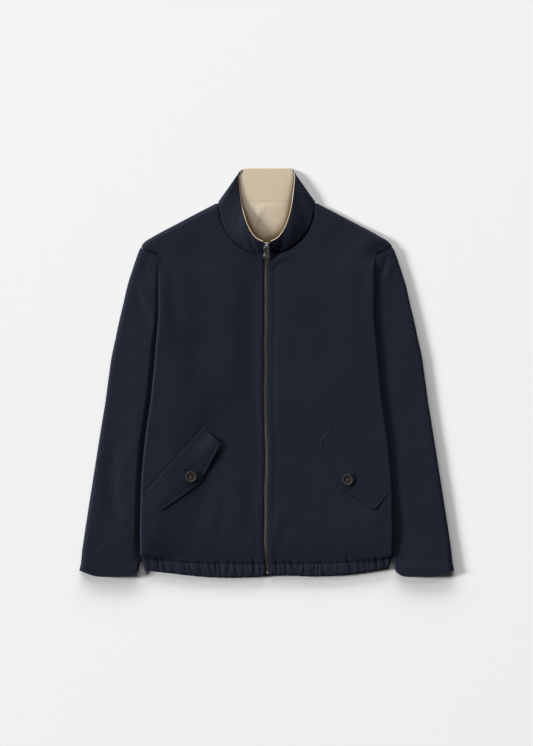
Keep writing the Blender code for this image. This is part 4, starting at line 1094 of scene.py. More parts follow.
collar = {
    "columns": 46, "rows": 330, "thick": 1.5, "facing": 1.0, "gap": 0.5, "shows": 2.9, "showsBack": 1.3,
    "bulgeFrom": 5.0, "bulgeRun": 3.5, "drawnBack": 2.2, "edge": 0.8, "edgeRound": 1.6, "seamDeep": 0.35,
    "seamHalf": 1.5, "stitchDeep": 0.22, "stitchIn": 4.5, "facingStitchIn": 4.2, "facingRise": 0.05,
    "tucks": ((2.4, 3.0), (0.7, 1.4)),  # out and down from the seam
}
collarKeys = [  # zip to middle back: seam x, y, z, top edge x, y, its height left and right, bulge between
    (4.9, 231.3, 8.4, 5.6, 251.5, 18.2, 18.2, -0.1), (15.6, 232.0, 8.6, 19.1, 257.6, 18.0, 17.0, 1.0),
    (33.0, 236.6, 8.8, 30.8, 270.5, 17.5, 16.0, 1.2), (54.2, 247.8, 9.0, 41.9, 294.1, 15.5, 16.0, 1.6),
    (70.6, 264.0, 9.0, 49.3, 322.3, 9.5, 15.5, 1.8), (82.2, 282.0, 8.8, 53.4, 351.6, 6.5, 12.0, 1.4),
    (89.0, 303.0, 8.4, 55.2, 373.0, 5.6, 9.0, 1.4), (92.2, 318.0, 7.8, 55.6, 382.4, 5.2, 7.5, 1.6),
    (93.2, 326.0, 6.8, 54.8, 387.6, 4.8, 6.2, 2.0), (94.0, 331.4, 4.4, 53.0, 391.0, 3.8, 4.4, 2.5),
    (93.6, 333.5, 1.9, 50.0, 394.0, 2.0, 2.4, 1.5), (90.5, 334.0, 0.3, 45.5, 396.2, 0.2, 0.3, 0.2),
    (84.0, 334.0, 0.0, 40.0, 396.7, 0.0, 0.0, 0.0), (58.5, 334.0, 0.0, 28.0, 396.8, 0.0, 0.0, 0.0),
    (29.2, 334.0, 0.0, 14.6, 396.8, 0.0, 0.0, 0.0), (0.0, 334.0, 0.0, 0.0, 396.8, 0.0, 0.0, 0.0),
]
collarFolds = {  # share of the half from the zip at the seam and at the top, half width, height
    -1: [
        (0.055, 0.115, 0.008, 0.45), (0.085, 0.16, 0.009, -0.45), (0.13, 0.20, 0.012, 0.3),
        (0.16, 0.30, 0.012, -0.3),
        (0.36, 0.44, 0.045, -0.25), (0.50, 0.47, 0.050, 0.25),
    ],
    1: [
        (0.06, 0.09, 0.010, 0.3), (0.10, 0.15, 0.012, -0.35), (0.15, 0.24, 0.014, 0.3),
        (0.22, 0.30, 0.020, -0.25),
        (0.40, 0.43, 0.032, 0.5), (0.47, 0.48, 0.024, -0.8), (0.52, 0.50, 0.022, 0.6),
        (0.33, 0.37, 0.030, -0.25),
    ],
}


def collarLines():
    # seam and top edge from the left end to the right, then each row's bulge, how far it stands and its place
    half = np.array(collarKeys, float)
    left = half[:-1, [0, 1, 2, 3, 4, 5, 7]] * (-1, 1, 1, -1, 1, 1, 1)
    table = np.concatenate([left, half[::-1, [0, 1, 2, 3, 4, 6, 7]]])
    steps = np.concatenate([np.ones(len(table) - 1), [0.0]])
    fine, place = evenRows(np.column_stack([table, steps]), collar["rows"], ((0, 1), (3, 4)))
    stands = ease((fine[:, 2:3] - collar["bulgeFrom"]) / collar["bulgeRun"])
    return fine[:, None, :3], fine[:, None, 3:6], fine[:, 6:], stands, place


collarSeam, collarTop, collarBulge, collarStands, collarPlace = collarLines()
collarLong = np.linalg.norm(collarTop - collarSeam, axis=-1)


def collarAt(v):
    # from the seam, v 0, to the top edge, v 1: a straight run plus a half sine of bulge where it stands
    grid = collarSeam + (collarTop - collarSeam) * v[..., None]
    grid[..., 2] += collarBulge * collarStands * np.sin(math.pi * np.clip(v, 0, 1))
    return grid


def collarRelief(v):
    # folds that run from the seam toward the top edge, fading at it
    half = 2 * np.minimum(collarPlace, 1 - collarPlace)[:, None]
    total = np.zeros(v.shape)
    for side, folds in collarFolds.items():
        on = ((collarPlace < 0.5) if side < 0 else (collarPlace >= 0.5))[:, None]
        for low, high, wide, height in folds:
            middle = low + (high - low) * v
            fade = ease((1.05 - v) / 0.5) if low < 0.3 else np.sin(math.pi * np.clip(0.15 + 0.8 * v, 0, 1))
            total += on * height * fade * bell(half - middle, wide * (1 + v))
    return total * collarStands


def makeCollar():
    # outer cloth: two rows go down inside the fronts' neck edge, then seam to top edge, rounded over
    v = np.repeat((1 - (1 - np.linspace(0, 1, collar["columns"])) ** 1.25)[None], collar["rows"], axis=0)
    grid = collarAt(v)
    fromTop = (1 - v) * collarLong
    relief = collarRelief(v) - collar["stitchDeep"] * bell(fromTop - collar["stitchIn"], 0.8)
    relief = relief - collar["edge"] * (1 - quarterRound(fromTop, collar["edgeRound"]))
    relief = relief - collar["seamDeep"] * bell(v * collarLong, collar["seamHalf"])
    turn = gridNormals(grid)
    outer = grid + turn * (relief * collarStands)[..., None]
    outer[..., 2] = np.maximum(outer[..., 2], 0.0)
    inner = grid - turn * collar["thick"]
    outward = unit((collarSeam - collarTop) * (1, 1, 0))
    tucks = [(outward * out - (0.0, 0.0, down)) * collarStands[..., None] for out, down in collar["tucks"]]
    outer = np.concatenate([outer[:, :1] + tuck for tuck in tucks] + [outer], axis=1)
    inner = np.concatenate([inner[:, :1] + tuck for tuck in tucks] + [inner], axis=1)
    standFor(clothWall("collar_cloth", outer, inner, navyCloth, arcUv(outer)), "collar")


def makeFacing():
    # beige cloth inside the collar; past the top edge it rolls out as a soft bead
    shows = collar["showsBack"] + (collar["shows"] - collar["showsBack"]) * collarStands
    start = collar["thick"] + collar["gap"]
    plain = np.linspace(0, 1, collar["columns"])[None]
    lowest = collar["facingRise"] * collarStands
    vPlain = lowest + (1 - 3.0 / collarLong - lowest) * plain
    past = np.array([-0.2, 0.28, 0.55, 0.8, 0.94, 1.0])  # share of what shows past the edge
    v = np.concatenate([vPlain, 1 + past[None] * shows / collarLong], axis=1)
    flat = np.zeros_like(vPlain)
    roll = np.concatenate([flat, collarStands * (0.25, 0.8, 1.15, 1.1, 0.8, 0.45)], axis=1)
    slim = np.concatenate([flat, 0 * collarStands + (0.0, 0.05, 0.15, 0.38, 0.6, 0.85)], axis=1)
    shown = collarAt(v)
    drawn = collar["drawnBack"] * bell(np.abs(collarSeam[..., 0]) - front["zipHalf"], 5.0)
    shown[..., 0] += np.sign(shown[..., 0]) * drawn * collarStands
    turn = gridNormals(shown)
    fold = np.minimum(collarRelief(v) * 0.25, 0.2)
    near = shown - turn * (start - fold - roll + 0.3 * slim)[..., None]
    deep = shown - turn * (start + collar["facing"] - slim)[..., None]
    piece = clothWall("collar_facing_cloth", near, deep, beigeCloth, arcUv(shown))
    standFor(piece, "collar_facing")


def arcUv(grid):
    # flat measures of a curved band: length round it and length up it
    around = lineLengths(grid[:, 0])
    up = np.linalg.norm(np.diff(grid, axis=1), axis=-1)
    up = np.concatenate([np.zeros((grid.shape[0], 1)), np.cumsum(up, axis=1)], axis=1)
    return np.stack([around[:, None] + 0 * up, up], axis=-1)


neckLining = {
    "edge": [(150, 118.0), (232, 118.0), (275, 84.0), (304, 86.0), (333.8, 89.0)],  # y, half width
    "creases": [(-30, 262, -6, 325, 3, 7, 0.5, 0), (34, 256, 40, 318, -2, 8, 0.5, 0)],
    "rows": 120, "columns": 121, "thick": 0.9, "waver": 0.35, "seamY": 332.0, "calm": 12.0,
}


def makeNeckLining():
    # the inner side of the back where the neck shows it, lying on the back with a few soft waves
    ends = (neckLining["edge"][0][0], neckLining["edge"][-1][0])
    rows = np.linspace(*ends, neckLining["rows"])
    x = smoothCurve(neckLining["edge"], rows)[:, None] * np.linspace(-1, 1, neckLining["columns"])
    y = np.repeat(rows[:, None], neckLining["columns"], axis=1)
    low = backUnder(x, y) + clothThick + seamGap
    wave = neckLining["waver"] * (1 + ripple(x, y, 71, 6, 45.0, 120.0))
    wave = wave + creaseSum(x, y, neckLining["creases"])
    high = low + neckLining["thick"] + wave * ease((neckLining["seamY"] - y) / neckLining["calm"])
    piece = clothWall("neck_lining_cloth", np.stack([x, y, high], -1), np.stack([x, y, low], -1), beigeCloth)
    standFor(piece, "neck_lining")


makeCollar()
makeFacing()
makeNeckLining()
print("collar and neck made")


# Zip: tapes, teeth, stop.

zipSizes = {
    "tapeIn": 3.35, "tapeOut": 15.0, "tapeLow": -394.4, "tapeHigh": 228.5, "tapeThick": 0.9, "cord": 0.22,
    "below": 0.35, "rows": 300, "reach": 9, "pitch": 2.4, "firstTooth": 0.6, "lowEnd": -389.4, "bend": 229.0,
    "topEnd": 248.0, "sink": 2.55, "pathPoints": 400, "evened": 20,
}


def tapeTop(y):
    # height of both tapes: under the lowest of the cloth beside the zip, evened out along it
    x = np.linspace(front["zipHalf"] + 0.6, zipSizes["tapeOut"], 6)[:, None]
    low = []
    for side, _ in sides:
        onBody = frontSurface(side * x, np.maximum(y, hemLine["midY"] + 0.2)[None], side).min(0)
        q = np.clip((hemLine["midY"] - y) / hem["deep"], 0.0, 1.0)
        onHem = (hemTop(side * x + 0 * y, y[None] + 0 * x, side, q[None]) - hem["thick"] + shell).min(0)
        low.append(np.where(y < hemLine["midY"] + 4.0, np.minimum(onHem, onBody), onBody))
    reach = zipSizes["reach"]
    window = 2 * reach + 1
    lowest = np.pad(np.minimum(*low), reach, mode="edge")
    held = np.lib.stride_tricks.sliding_window_view(lowest, window).min(1)
    evened = np.convolve(np.pad(held, reach, mode="edge"), np.ones(window) / window, mode="valid")
    return evened - shell - zipSizes["below"]


def makeTape(side, word):
    # a flat band with a raised cord beside the teeth
    y = np.linspace(zipSizes["tapeLow"], zipSizes["tapeHigh"], zipSizes["rows"])
    x = np.concatenate([np.linspace(zipSizes["tapeIn"], 5.0, 8), np.linspace(6.0, zipSizes["tapeOut"], 8)])
    top = tapeTop(y)[:, None] + zipSizes["cord"] * bell(x - 3.9, 0.45)[None]
    outer = np.stack([side * x[None] + 0 * y[:, None], y[:, None] + 0 * x[None], top], axis=-1)
    inner = outer - (0.0, 0.0, zipSizes["tapeThick"])
    piece = clothWall(f"zip_tape_{word}_weave", swayed(outer), swayed(inner), tapeCloth, outer[..., :2])
    standFor(piece, f"zip_tape_{word}")


slope = {"angle": math.radians(27.0), "startY": 231.3, "startZ": 8.4, "sliderY": 244.3}


def slopeHeight(y):
    # height of the collar's front ends beside the zip
    return slope["startZ"] + math.tan(slope["angle"]) * (y - slope["startY"])


def tipped(along, off, angle):
    # turns lengths along and off a plane by its angle to the floor
    cos, sin = math.cos(angle), math.sin(angle)
    return along * cos - off * sin, along * sin + off * cos


def slopePlace(p):
    # points across, along and off the slope, set at the slider's middle
    y, z = tipped(p[..., 1], p[..., 2] - 1.0, slope["angle"])
    return np.stack([p[..., 0], slope["sliderY"] + y, slopeHeight(slope["sliderY"]) + z], axis=-1)


def chainPath():
    # height and place of the middle of the teeth from the stop up into the slider
    y = np.linspace(zipSizes["lowEnd"], zipSizes["bend"], zipSizes["pathPoints"])
    z = tapeTop(y) - 0.5 * zipSizes["tapeThick"] + 0.1
    upper = np.array([234.0, 239.0, 244.0, zipSizes["topEnd"]])
    sunk = slopeHeight(upper) - zipSizes["sink"] / math.cos(slope["angle"])
    line = np.stack([np.concatenate([y, upper]), np.concatenate([z, sunk])], axis=1)
    bent = zipSizes["pathPoints"] - zipSizes["evened"]
    for _ in range(3):
        line[bent:-2] = (line[bent - 1:-3] + 2 * line[bent:-2] + line[bent + 1:-1]) / 4
    return line


toothRings = np.array([  # across from the tape, half length along the zip, half height
    (3.15, 0.62, 0.95), (2.7, 0.78, 1.12), (1.5, 0.72, 1.15), (0.35, 0.55, 1.02), (-0.35, 0.62, 0.9),
    (-0.8, 0.34, 0.55),
])


def makeTeeth(side, word, offset):
    # one rounded tooth every pitch along the chain's path, each a few rings across the zip
    path = chainPath()
    run = lineLengths(path)
    at = np.arange(offset, run[-1], zipSizes["pitch"])
    place = alongLine(path, run, at)[..., None, None]
    ahead = unit(alongLine(path, run, at + 0.8) - alongLine(path, run, at - 0.8))[..., None, None]
    corners = 8
    turn = np.linspace(0, 2 * math.pi, corners, endpoint=False) + math.pi / corners
    along = toothRings[:, 1, None] * powered(np.cos(turn), 0.55)
    off = toothRings[:, 2, None] * powered(np.sin(turn), 0.55)
    y = place[:, 0] + ahead[:, 0] * along - ahead[:, 1] * off
    z = place[:, 1] + ahead[:, 1] * along + ahead[:, 0] * off
    x = np.broadcast_to(side * toothRings[:, :1], y.shape)
    points = swayed(np.stack([x, y, z], axis=-1).reshape(-1, 3))
    groups = repeated(len(toothRings), corners, len(at))
    piece = linkPiece(f"zip_teeth_{word}", points, groups, agedBrass, None, 40.0)
    standFor(piece, "zip_chain")


stop = {"y": -391.7, "above": 0.2, "half": (3.0, 1.9, 1.35), "power": 0.35, "around": 40, "rings": 20}


def makeStop():
    # superellipsoid: each axis is sign(c) |c|^power of the sphere's own coordinates
    u = np.linspace(0, 2 * math.pi, stop["around"], endpoint=False)[None]
    v = np.linspace(-math.pi / 2, math.pi / 2, stop["rings"] + 2)[1:-1, None]
    sphere = np.stack([np.cos(v) * np.cos(u), np.cos(v) * np.sin(u), np.sin(v) + 0 * u], axis=-1)
    sphere = np.concatenate([sphere.reshape(-1, 3), [(0.0, 0.0, -1.0), (0.0, 0.0, 1.0)]])
    middle = (0.0, stop["y"], chainPath()[0, 1] + stop["above"])
    points = swayed(powered(sphere, stop["power"]) * stop["half"] + middle)
    groups = [gridFaces(stop["rings"], stop["around"], wrap=True), poleCaps(stop["rings"], stop["around"])]
    piece = linkPiece("zip_bottom_stop", points, groups, agedBrass, None, 60.0)
    standFor(piece, "zip_stop")


for side, word in sides:
    makeTape(side, word)
makeTeeth(-1, "left", zipSizes["firstTooth"])
makeTeeth(1, "right", zipSizes["firstTooth"] + 0.5 * zipSizes["pitch"])
makeStop()
print("zip tapes, teeth and stop made")


# Zip slider and pull, cut from flat outlines with rounded edges.

slider = {
    "plate": 1.3, "low": -4.4, "wide": 5.4, "long": 6.2, "railAt": 4.05, "rail": 0.9, "post": 2.6,
    "bridgeWide": 1.4, "inside": 2.7, "bridgeLong": 3.2, "bridge": 1.1,
}
pull = {
    "tilt": math.radians(16.0), "thick": 1.2, "holeAt": 17.9, "hole": 3.3, "lip": 0.9, "lipHigh": 0.4,
    "back": 1.5,
}
pullHalf = [  # along the pull, half width
    (-24.5, 0.0), (-24.35, 1.9), (-23.6, 3.7), (-22.2, 5.1), (-20.4, 6.2), (-18.6, 6.85), (-17.2, 6.95),
    (-14.6, 6.25),
    (-9.8, 5.15), (-3.0, 5.5), (0.0, 5.6),
]


def circleLine(x, y, radius, count):
    angles = np.linspace(0, 2 * math.pi, count, endpoint=False)
    return np.stack([x + radius * np.cos(angles), y + radius * np.sin(angles)], axis=1)


def roundCorners(line, radius):
    # every corner of an outline becomes a short quadratic curve
    line = np.array(line, float)
    before, after = np.roll(line, 1, axis=0) - line, np.roll(line, -1, axis=0) - line
    t = np.linspace(0, 1, 5)[:, None]
    out = []
    for p, a, b in zip(line, before, after):
        longA, longB = np.linalg.norm(a), np.linalg.norm(b)
        cut = min(radius, 0.45 * longA, 0.45 * longB)
        first, last = p + a / longA * cut, p + b / longB * cut
        out.append((1 - t) ** 2 * first + 2 * t * (1 - t) * p + t ** 2 * last)
    return np.concatenate(out)


def platePoints(outlines, thick, edge):
    # outline and holes in a plane, given thickness and a rounded edge; returns points and faces
    flat = bpy.data.curves.new("flat_outline", "CURVE")
    flat.dimensions = "2D"
    flat.fill_mode = "BOTH"
    flat.extrude = 0.5 * thick - edge
    flat.bevel_depth = edge
    flat.bevel_resolution = 2
    flat.offset = -edge
    for line in outlines:
        spline = flat.splines.new("POLY")
        spline.points.add(len(line) - 1)
        corners = np.column_stack([line, np.zeros(len(line)), np.ones(len(line))])
        spline.points.foreach_set("co", corners.ravel())
        spline.use_cyclic_u = True
    holder = bpy.data.objects.new("flat_outline", flat)
    bpy.context.scene.collection.objects.link(holder)
    mesh = bpy.data.meshes.new_from_object(holder.evaluated_get(bpy.context.evaluated_depsgraph_get()))
    work = bmesh.new()
    work.from_mesh(mesh)
    bmesh.ops.remove_doubles(work, verts=work.verts, dist=0.001)
    bmesh.ops.recalc_face_normals(work, faces=work.faces)
    bmesh.ops.triangulate(work, faces=work.faces)
    work.verts.index_update()
    points = np.array([v.co for v in work.verts])
    faces = np.array([[v.index for v in f.verts] for f in work.faces])
    work.free()
    bpy.data.objects.remove(holder)
    bpy.data.curves.remove(flat)
    bpy.data.meshes.remove(mesh)
    return points, faces


def metalPiece(name, parts, place, node, body="jacket"):
    # several closed shapes in one piece, each put in place by the given function and facing outward
    turned = []
    for points, faces in parts:
        placed = place(points)
        turned.append((placed, faces if signedVolume(placed, [faces]) > 0 else faces[:, ::-1]))
    points, groups = joined(turned)
    standFor(linkPiece(name, points, groups, darkNickel, None, 35.0, body), node)


def standOnEdge(shape, offset=0.0):
    # a shape drawn across = along, up = off the slope, turned so that its thickness runs across the zip
    points, faces = shape
    return np.stack([points[:, 2] + offset, points[:, 0], points[:, 1]], axis=1), faces


def makeSlider():
    # two plates with side rails that keep the teeth in, a post between them and a bridge over the top
    wide, long = slider["wide"], slider["long"]
    outline = [
        (-wide + 0.9, -long), (wide - 0.9, -long), (wide - 0.5, -0.5), (wide, 2.6), (wide - 0.2, long - 0.8),
        (1.2, long), (0, long - 1.2), (-1.2, long), (-wide + 0.2, long - 0.8), (-wide, 2.6),
        (-wide + 0.5, -0.5),
    ]
    points, faces = platePoints([roundCorners(outline, 1.4)], slider["plate"], 0.35)
    parts = [(points + (0.0, 0.0, level + 0.5 * slider["plate"]), faces) for level in (0.0, slider["low"])]
    rails = (
        [(-long + 0.2, -1.15), (1.6, -1.15), (2.4, 0.2), (-long + 0.2, 0.2)],
        [(-long + 0.2, -3.3), (2.4, -3.3), (1.6, -2.05), (-long + 0.2, -2.05)],
    )
    shapes = [platePoints([roundCorners(rail, 0.4)], slider["rail"], 0.2) for rail in rails]
    for side, _ in sides:
        parts += [standOnEdge(shape, side * slider["railAt"]) for shape in shapes]
    post = [(4.5, -3.4), (5.9, -3.4), (5.9, 0.3), (4.5, 0.3)]
    parts.append(standOnEdge(platePoints([roundCorners(post, 0.3)], slider["post"], 0.3)))
    inside, thick = slider["bridgeLong"], slider["bridge"]
    roof = slider["plate"] + slider["inside"]
    foot = slider["plate"] - 0.4
    arch = [
        (-inside - thick, foot), (-inside - thick, roof - 0.4), (-inside - 0.2, roof + thick),
        (inside + 0.2, roof + thick), (inside + thick, roof - 0.4), (inside + thick, foot),
        (inside, foot), (inside, roof), (-inside, roof), (-inside, foot),
    ]
    parts.append(standOnEdge(platePoints([roundCorners(arch, 0.7)], 2 * slider["bridgeWide"], 0.32)))
    metalPiece("zip_slider_body", parts, slopePlace, "zip_slider")


def pullPlace(points):
    # the pull hangs from its axis under the bridge, tilted down the slope
    axis = slopePlace(np.array([0.0, -pull["back"], slider["plate"] + 0.5 * slider["inside"]]))
    y, z = tipped(points[:, 1], points[:, 2], pull["tilt"])
    return np.stack([points[:, 0], y, z], axis=1) + axis


def makePull():
    # a flat tab, widest round its hole, with a slot for the bridge and a raised lip round the hole
    half = np.array(pullHalf)
    y = np.concatenate([half[:1, 0], np.interp(np.linspace(1, 10, 60), np.arange(len(half)), half[:, 0])])
    x = np.concatenate([[0.0], smoothCurve(half[1:], y[1:])])
    bar = roundCorners([(5.6, -1.2), (5.6, 0.9), (-5.6, 0.9), (-5.6, -1.2)], 0.7)[5:15]
    outline = np.concatenate([np.stack([x, y], 1)[:-1], bar, np.stack([-x, y], 1)[-2:0:-1]])
    slot = roundCorners([(-2.3, -11.6), (2.3, -11.6), (2.3, -0.8), (-2.3, -0.8)], 0.9)
    hole = circleLine(0.0, -pull["holeAt"], pull["hole"], 36)
    plate = platePoints([outline, slot, hole], pull["thick"], 0.32)
    around = [circleLine(0.0, -pull["holeAt"], pull["hole"] + grow, 40) for grow in (pull["lip"], -0.05)]
    lip = platePoints(around, pull["thick"] + pull["lipHigh"], 0.25)
    metalPiece("zip_pull_tab", [plate, lip], pullPlace, "zip_pull", "pull")


makeSlider()
makePull()
print("slider and pull made")


# Pocket flaps.

flap = {
    "columns": 141, "rows": 58, "clear": 0.35, "loft": 0.8, "thick": 1.3, "curl": 1.9, "curlRun": 0.55,
    "roll": 38.0, "edge": 0.35, "inset": 7.0, "stitchDeep": 0.36, "border": 0.14, "pinch": 0.07,
    "waver": 0.16, "dimple": 0.35, "dimpleHalf": 9.0, "band": 4.0,
}


def flapPlan(p, q, side):
    # place in plan for shares along (p) and across (q): lower corners rounded by the square-to-disc map
    keys, length = flapKeys[side], flapLong(side)
    middle = keys["pointAt"]
    t = np.where(p < middle, (middle - p) / middle, (p - middle) / (1 - middle))
    depth = keys["endDeep"] + (keys["pointDeep"] - keys["endDeep"]) * (1 - np.sqrt(t * t + 0.0009) + 0.03)
    p, q = np.broadcast_arrays(p, q)
    for end, radius in enumerate(keys["rounds"]):
        fromEnd = (p if end == 0 else 1 - p) * length
        fromLow = (1 - q) * depth
        u, v = np.clip(1 - fromEnd / radius, 0, 1), np.clip(1 - fromLow / radius, 0, 1)
        fromEnd = np.where(u > 0, radius * (1 - u * np.sqrt(1 - v * v / 2)), fromEnd)
        fromLow = np.where(v > 0, radius * (1 - v * np.sqrt(1 - u * u / 2)), fromLow)
        p = fromEnd / length if end == 0 else 1 - fromEnd / length
        q = 1 - fromLow / depth
    return p * length + keys["lean"] * q * depth, q * depth


def flapXY(a, d, side):
    # plan place from the length along the sewn edge and the depth below it
    start, along, down, _ = flapFrame(side)
    place = start + np.asarray(a)[..., None] * along + np.asarray(d)[..., None] * down
    return place[..., 0], place[..., 1]


def flapFreeLine(side):
    # the three free sides in plan, from the long edge round to it again
    a, d = flapPlan(np.zeros(24), np.linspace(0, 1, 24), side)
    b, e = flapPlan(np.linspace(0, 1, 90), np.ones(90), side)
    c, f = flapPlan(np.ones(24), np.linspace(1, 0, 24), side)
    x, y = flapXY(np.concatenate([a, b[1:], c[1:]]), np.concatenate([d, e[1:], f[1:]]), side)
    return np.stack([x, y], axis=1)


flapFreeLines = {side: flapFreeLine(side) for side, _ in sides}


def flapTop(a, d, side):
    # height of a flap's outer side: rolled out of its seam, lifted at its upper end, stitched near its edge
    x, y = flapXY(a, d, side)
    upper = 1 - ease(np.clip(a / flapLong(side), 0, 1) / flap["curlRun"])
    lift = (flap["curl"] + flapKeys[side]["lift"] * ease(d / 38.0)) * upper * (0.3 + 0.7 * ease(d / 30.0))
    rolled = ease(d / flap["roll"])
    z = frontTop(x, y, side) + flap["clear"] + (flap["loft"] + lift) * rolled
    z = z - pocketSeam["deep"] * bell(d, pocketSeam["half"])
    inside = distanceTo(x, y, flapFreeLines[side])
    fromStitch = inside - flap["inset"]
    belowSeam = ease((d - 1.0) / 4.0)
    z = z - flap["edge"] * (1 - quarterRound(inside, flap["edge"])) * rolled
    z = z - flap["stitchDeep"] * bell(fromStitch, 0.9) * belowSeam
    z = z + flap["border"] * np.sin(math.pi * np.clip(inside / flap["inset"], 0, 1)) * belowSeam
    z = z + flap["pinch"] * np.sin(2 * math.pi * (x - y) / 5.2) * bell(fromStitch, 2.6)
    z = z + flap["waver"] * ripple(x, y, 81 + side, 6, 26.0, 60.0) * ease(d / 12.0)
    buttonA, buttonD = buttonAt(side)
    return z - flap["dimple"] * bell(np.hypot(a - buttonA, d - buttonD), flap["dimpleHalf"])


def buttonAt(side):
    keys = flapKeys[side]
    return keys["pointAt"] * flapLong(side) + keys["lean"] * keys["buttonIn"], keys["buttonIn"]


def flapPath(line, side, above=0.0):
    # a line given along and down a flap, laid on it
    a, d = line.T
    return np.stack([*flapXY(a, d, side), flapTop(a, d, side) + above], axis=1)


def bandedShares(count, band, more):
    # shares from 0 to 1, with the given number of closer steps in the band at each end
    low, high = np.linspace(0, band, more)[:-1], np.linspace(1 - band, 1, more)[1:]
    return np.concatenate([low, np.linspace(band, 1 - band, count - 2 * more + 2), high])


def makeFlap(side, word):
    p = bandedShares(flap["columns"], flap["band"] / flapLong(side), 8)
    q = bandedShares(flap["rows"], 0.08, 10)
    a, d = flapPlan(p[:, None], q[None], side)
    x, y = flapXY(a, d, side)
    outer = np.stack([x, y, flapTop(a, d, side)], axis=-1)
    inner = outer - (0.0, 0.0, flap["thick"])
    inner[..., 2] = np.maximum(inner[..., 2], np.minimum(frontTop(x, y, side) + 0.15, outer[..., 2] - 0.3))
    piece = clothWall(f"pocket_flap_{word}_cloth", outer, inner, navyCloth, np.stack([a, d], axis=-1))
    standFor(piece, f"pocket_flap_{word}")


for side, word in sides:
    makeFlap(side, word)
print("pocket flaps made")


# Buttons with their wells, threads and buttonholes.

button = {
    "radius": 11.0, "above": 0.15, "dish": 2.1, "hole": 1.05, "holeAt": 2.3, "holeDeep": 1.7, "around": 96,
    "profileRings": 44, "dishRings": 37, "strand": 0.22,
}
buttonProfile = [  # out from the middle, height
    (0, 0), (8.6, 0.0), (10.2, 0.35), (10.85, 1.0), (11.0, 1.7), (10.8, 2.35), (10.3, 2.82), (9.7, 3.0),
    (9.0, 2.93),
    (8.3, 2.62), (7.6, 2.3), (7.0, 2.14), (5.6, 2.1),
]
hornLook = {
    "deep": (0.011, 0.0095, 0.008), "pale": (0.027, 0.024, 0.020), "rough": (0.48, 0.66), "dent": 0.00006,
}


def makeHorn():
    # layered horn: rings drawn out in one direction, clouded, with a soft polish
    material, tree, shader = newMaterial("dark horn", {"Specular IOR Level": 0.2})
    place = tree.nodes.new("ShaderNodeTexCoord").outputs["Object"]
    cloud = placeGroup(tree, mottleGroup, Place=place, Broad=160.0, Small=900.0)
    layers = noiseNode(tree, stretchNode(tree, place, (500.0, 160.0, 300.0)), 1.0, 4.0, 0.6)
    tone = mathNode(tree, "MULTIPLY_ADD", layers, 0.6, mathNode(tree, "MULTIPLY", cloud.outputs["Tone"], 0.4))
    colour = mixColours(tree, span(tree, tone, 0.0, 1.0), hornLook["deep"], hornLook["pale"])
    tree.links.new(colour, shader.inputs["Base Color"])
    tree.links.new(span(tree, cloud.outputs["Tone"], *hornLook["rough"]), shader.inputs["Roughness"])
    bumpNormal(tree, shader, [(cloud.outputs["Dent"], hornLook["dent"])])
    return material


darkHorn = makeHorn()
# the tan thread keeps the beige cloth's painted shade in hollows
tanThreadLook = dict(
    beigeLook, deep=(0.050, 0.024, 0.014), pale=(0.095, 0.048, 0.028), pitch=0.0003, dent=0.0001)
tanThread = clothMaterial("tan button thread", tanThreadLook)


def buttonRest(side):
    # plan place of the button's middle and the height of its under side
    a, d = buttonAt(side)
    x, y = flapXY(a, d, side)
    turn = np.linspace(0, 2 * math.pi, 12)
    around = flapTop(a + button["radius"] * np.cos(turn), d + button["radius"] * np.sin(turn), side)
    return np.array([float(x), float(y), around.max() + button["above"]])


def makeButton(side, word):
    # a lathe profile with four wells sunk into its dish
    out = np.linspace(5.4, 0.0, button["dishRings"])
    dish = np.stack([out, np.full(len(out), button["dish"])], axis=1)
    line = np.concatenate([spacedLine(np.array(buttonProfile), button["profileRings"]), dish])[1:-1]
    turn = np.linspace(0, 2 * math.pi, button["around"], endpoint=False)
    x, y = line[:, :1] * np.cos(turn), line[:, :1] * np.sin(turn)
    z = np.repeat(line[:, 1:], len(turn), axis=1)
    holes = [(hx * button["holeAt"], hy * button["holeAt"]) for hx in (-1, 1) for hy in (-1, 1)]
    nearest = np.min([np.hypot(x - hx, y - hy) for hx, hy in holes], axis=0)
    onTop = np.arange(len(line))[:, None] > 30
    z = z - button["holeDeep"] * (1 - ease((nearest - button["hole"] + 0.25) / 0.5)) * onTop
    z = z - 0.12 * bell(nearest - button["hole"] - 0.4, 0.3) * onTop
    z = z + 0.06 * np.sin(2 * math.pi * (x + 0.4 * y) / 6.0) * onTop
    poles = [(0.0, 0.0, 0.0), (0.0, 0.0, button["dish"])]
    points = np.concatenate([np.stack([x, y, z], -1).reshape(-1, 3), poles]) + buttonRest(side)
    groups = [gridFaces(len(line), button["around"], wrap=True), poleCaps(len(line), button["around"])]
    standFor(linkPiece(f"button_{word}_horn", points, groups, darkHorn), f"button_{word}")


def tubeParts(path, radius, around=10):
    # a closed tube along a path; its radius may change from point to point
    ahead = unit(np.gradient(path, axis=0))
    side = unit(np.cross(ahead, np.array([0.0, 0.0, 1.0]) + 1e-6))
    up = np.cross(side, ahead)
    turn = np.linspace(0, 2 * math.pi, around, endpoint=False)
    radius = np.broadcast_to(radius, len(path))[:, None, None]
    ring = side[:, None] * np.cos(turn)[:, None] + up[:, None] * np.sin(turn)[:, None]
    return (path[:, None] + ring * radius).reshape(-1, 3), *repeated(len(path), around, 1)


def makeButtonThread(side, word):
    # two crossed bars of three strands each, from well to well over the dish
    rest = buttonRest(side)
    strandWide = button["strand"]
    t = np.linspace(-1, 1, 15)
    reach = button["holeAt"] * np.clip(1.06 * t, -1, 1)
    sunk = button["holeDeep"] * ease((np.abs(t) - 0.86) / 0.2)
    parts = []
    for bar, (dx, dy) in enumerate(((1, 1), (1, -1))):
        for strand in (-1, 0, 1):
            high = button["dish"] + 0.28 + 0.25 * bar + 0.12 * (strand == 0) - sunk
            off = strand * strandWide
            line = np.stack([reach * dx - dy * off, reach * dy + dx * off, high], axis=1) + rest
            parts.append(tubeParts(line, strandWide, 8))
    joinedPiece(f"button_{word}_thread", parts, tanThread)


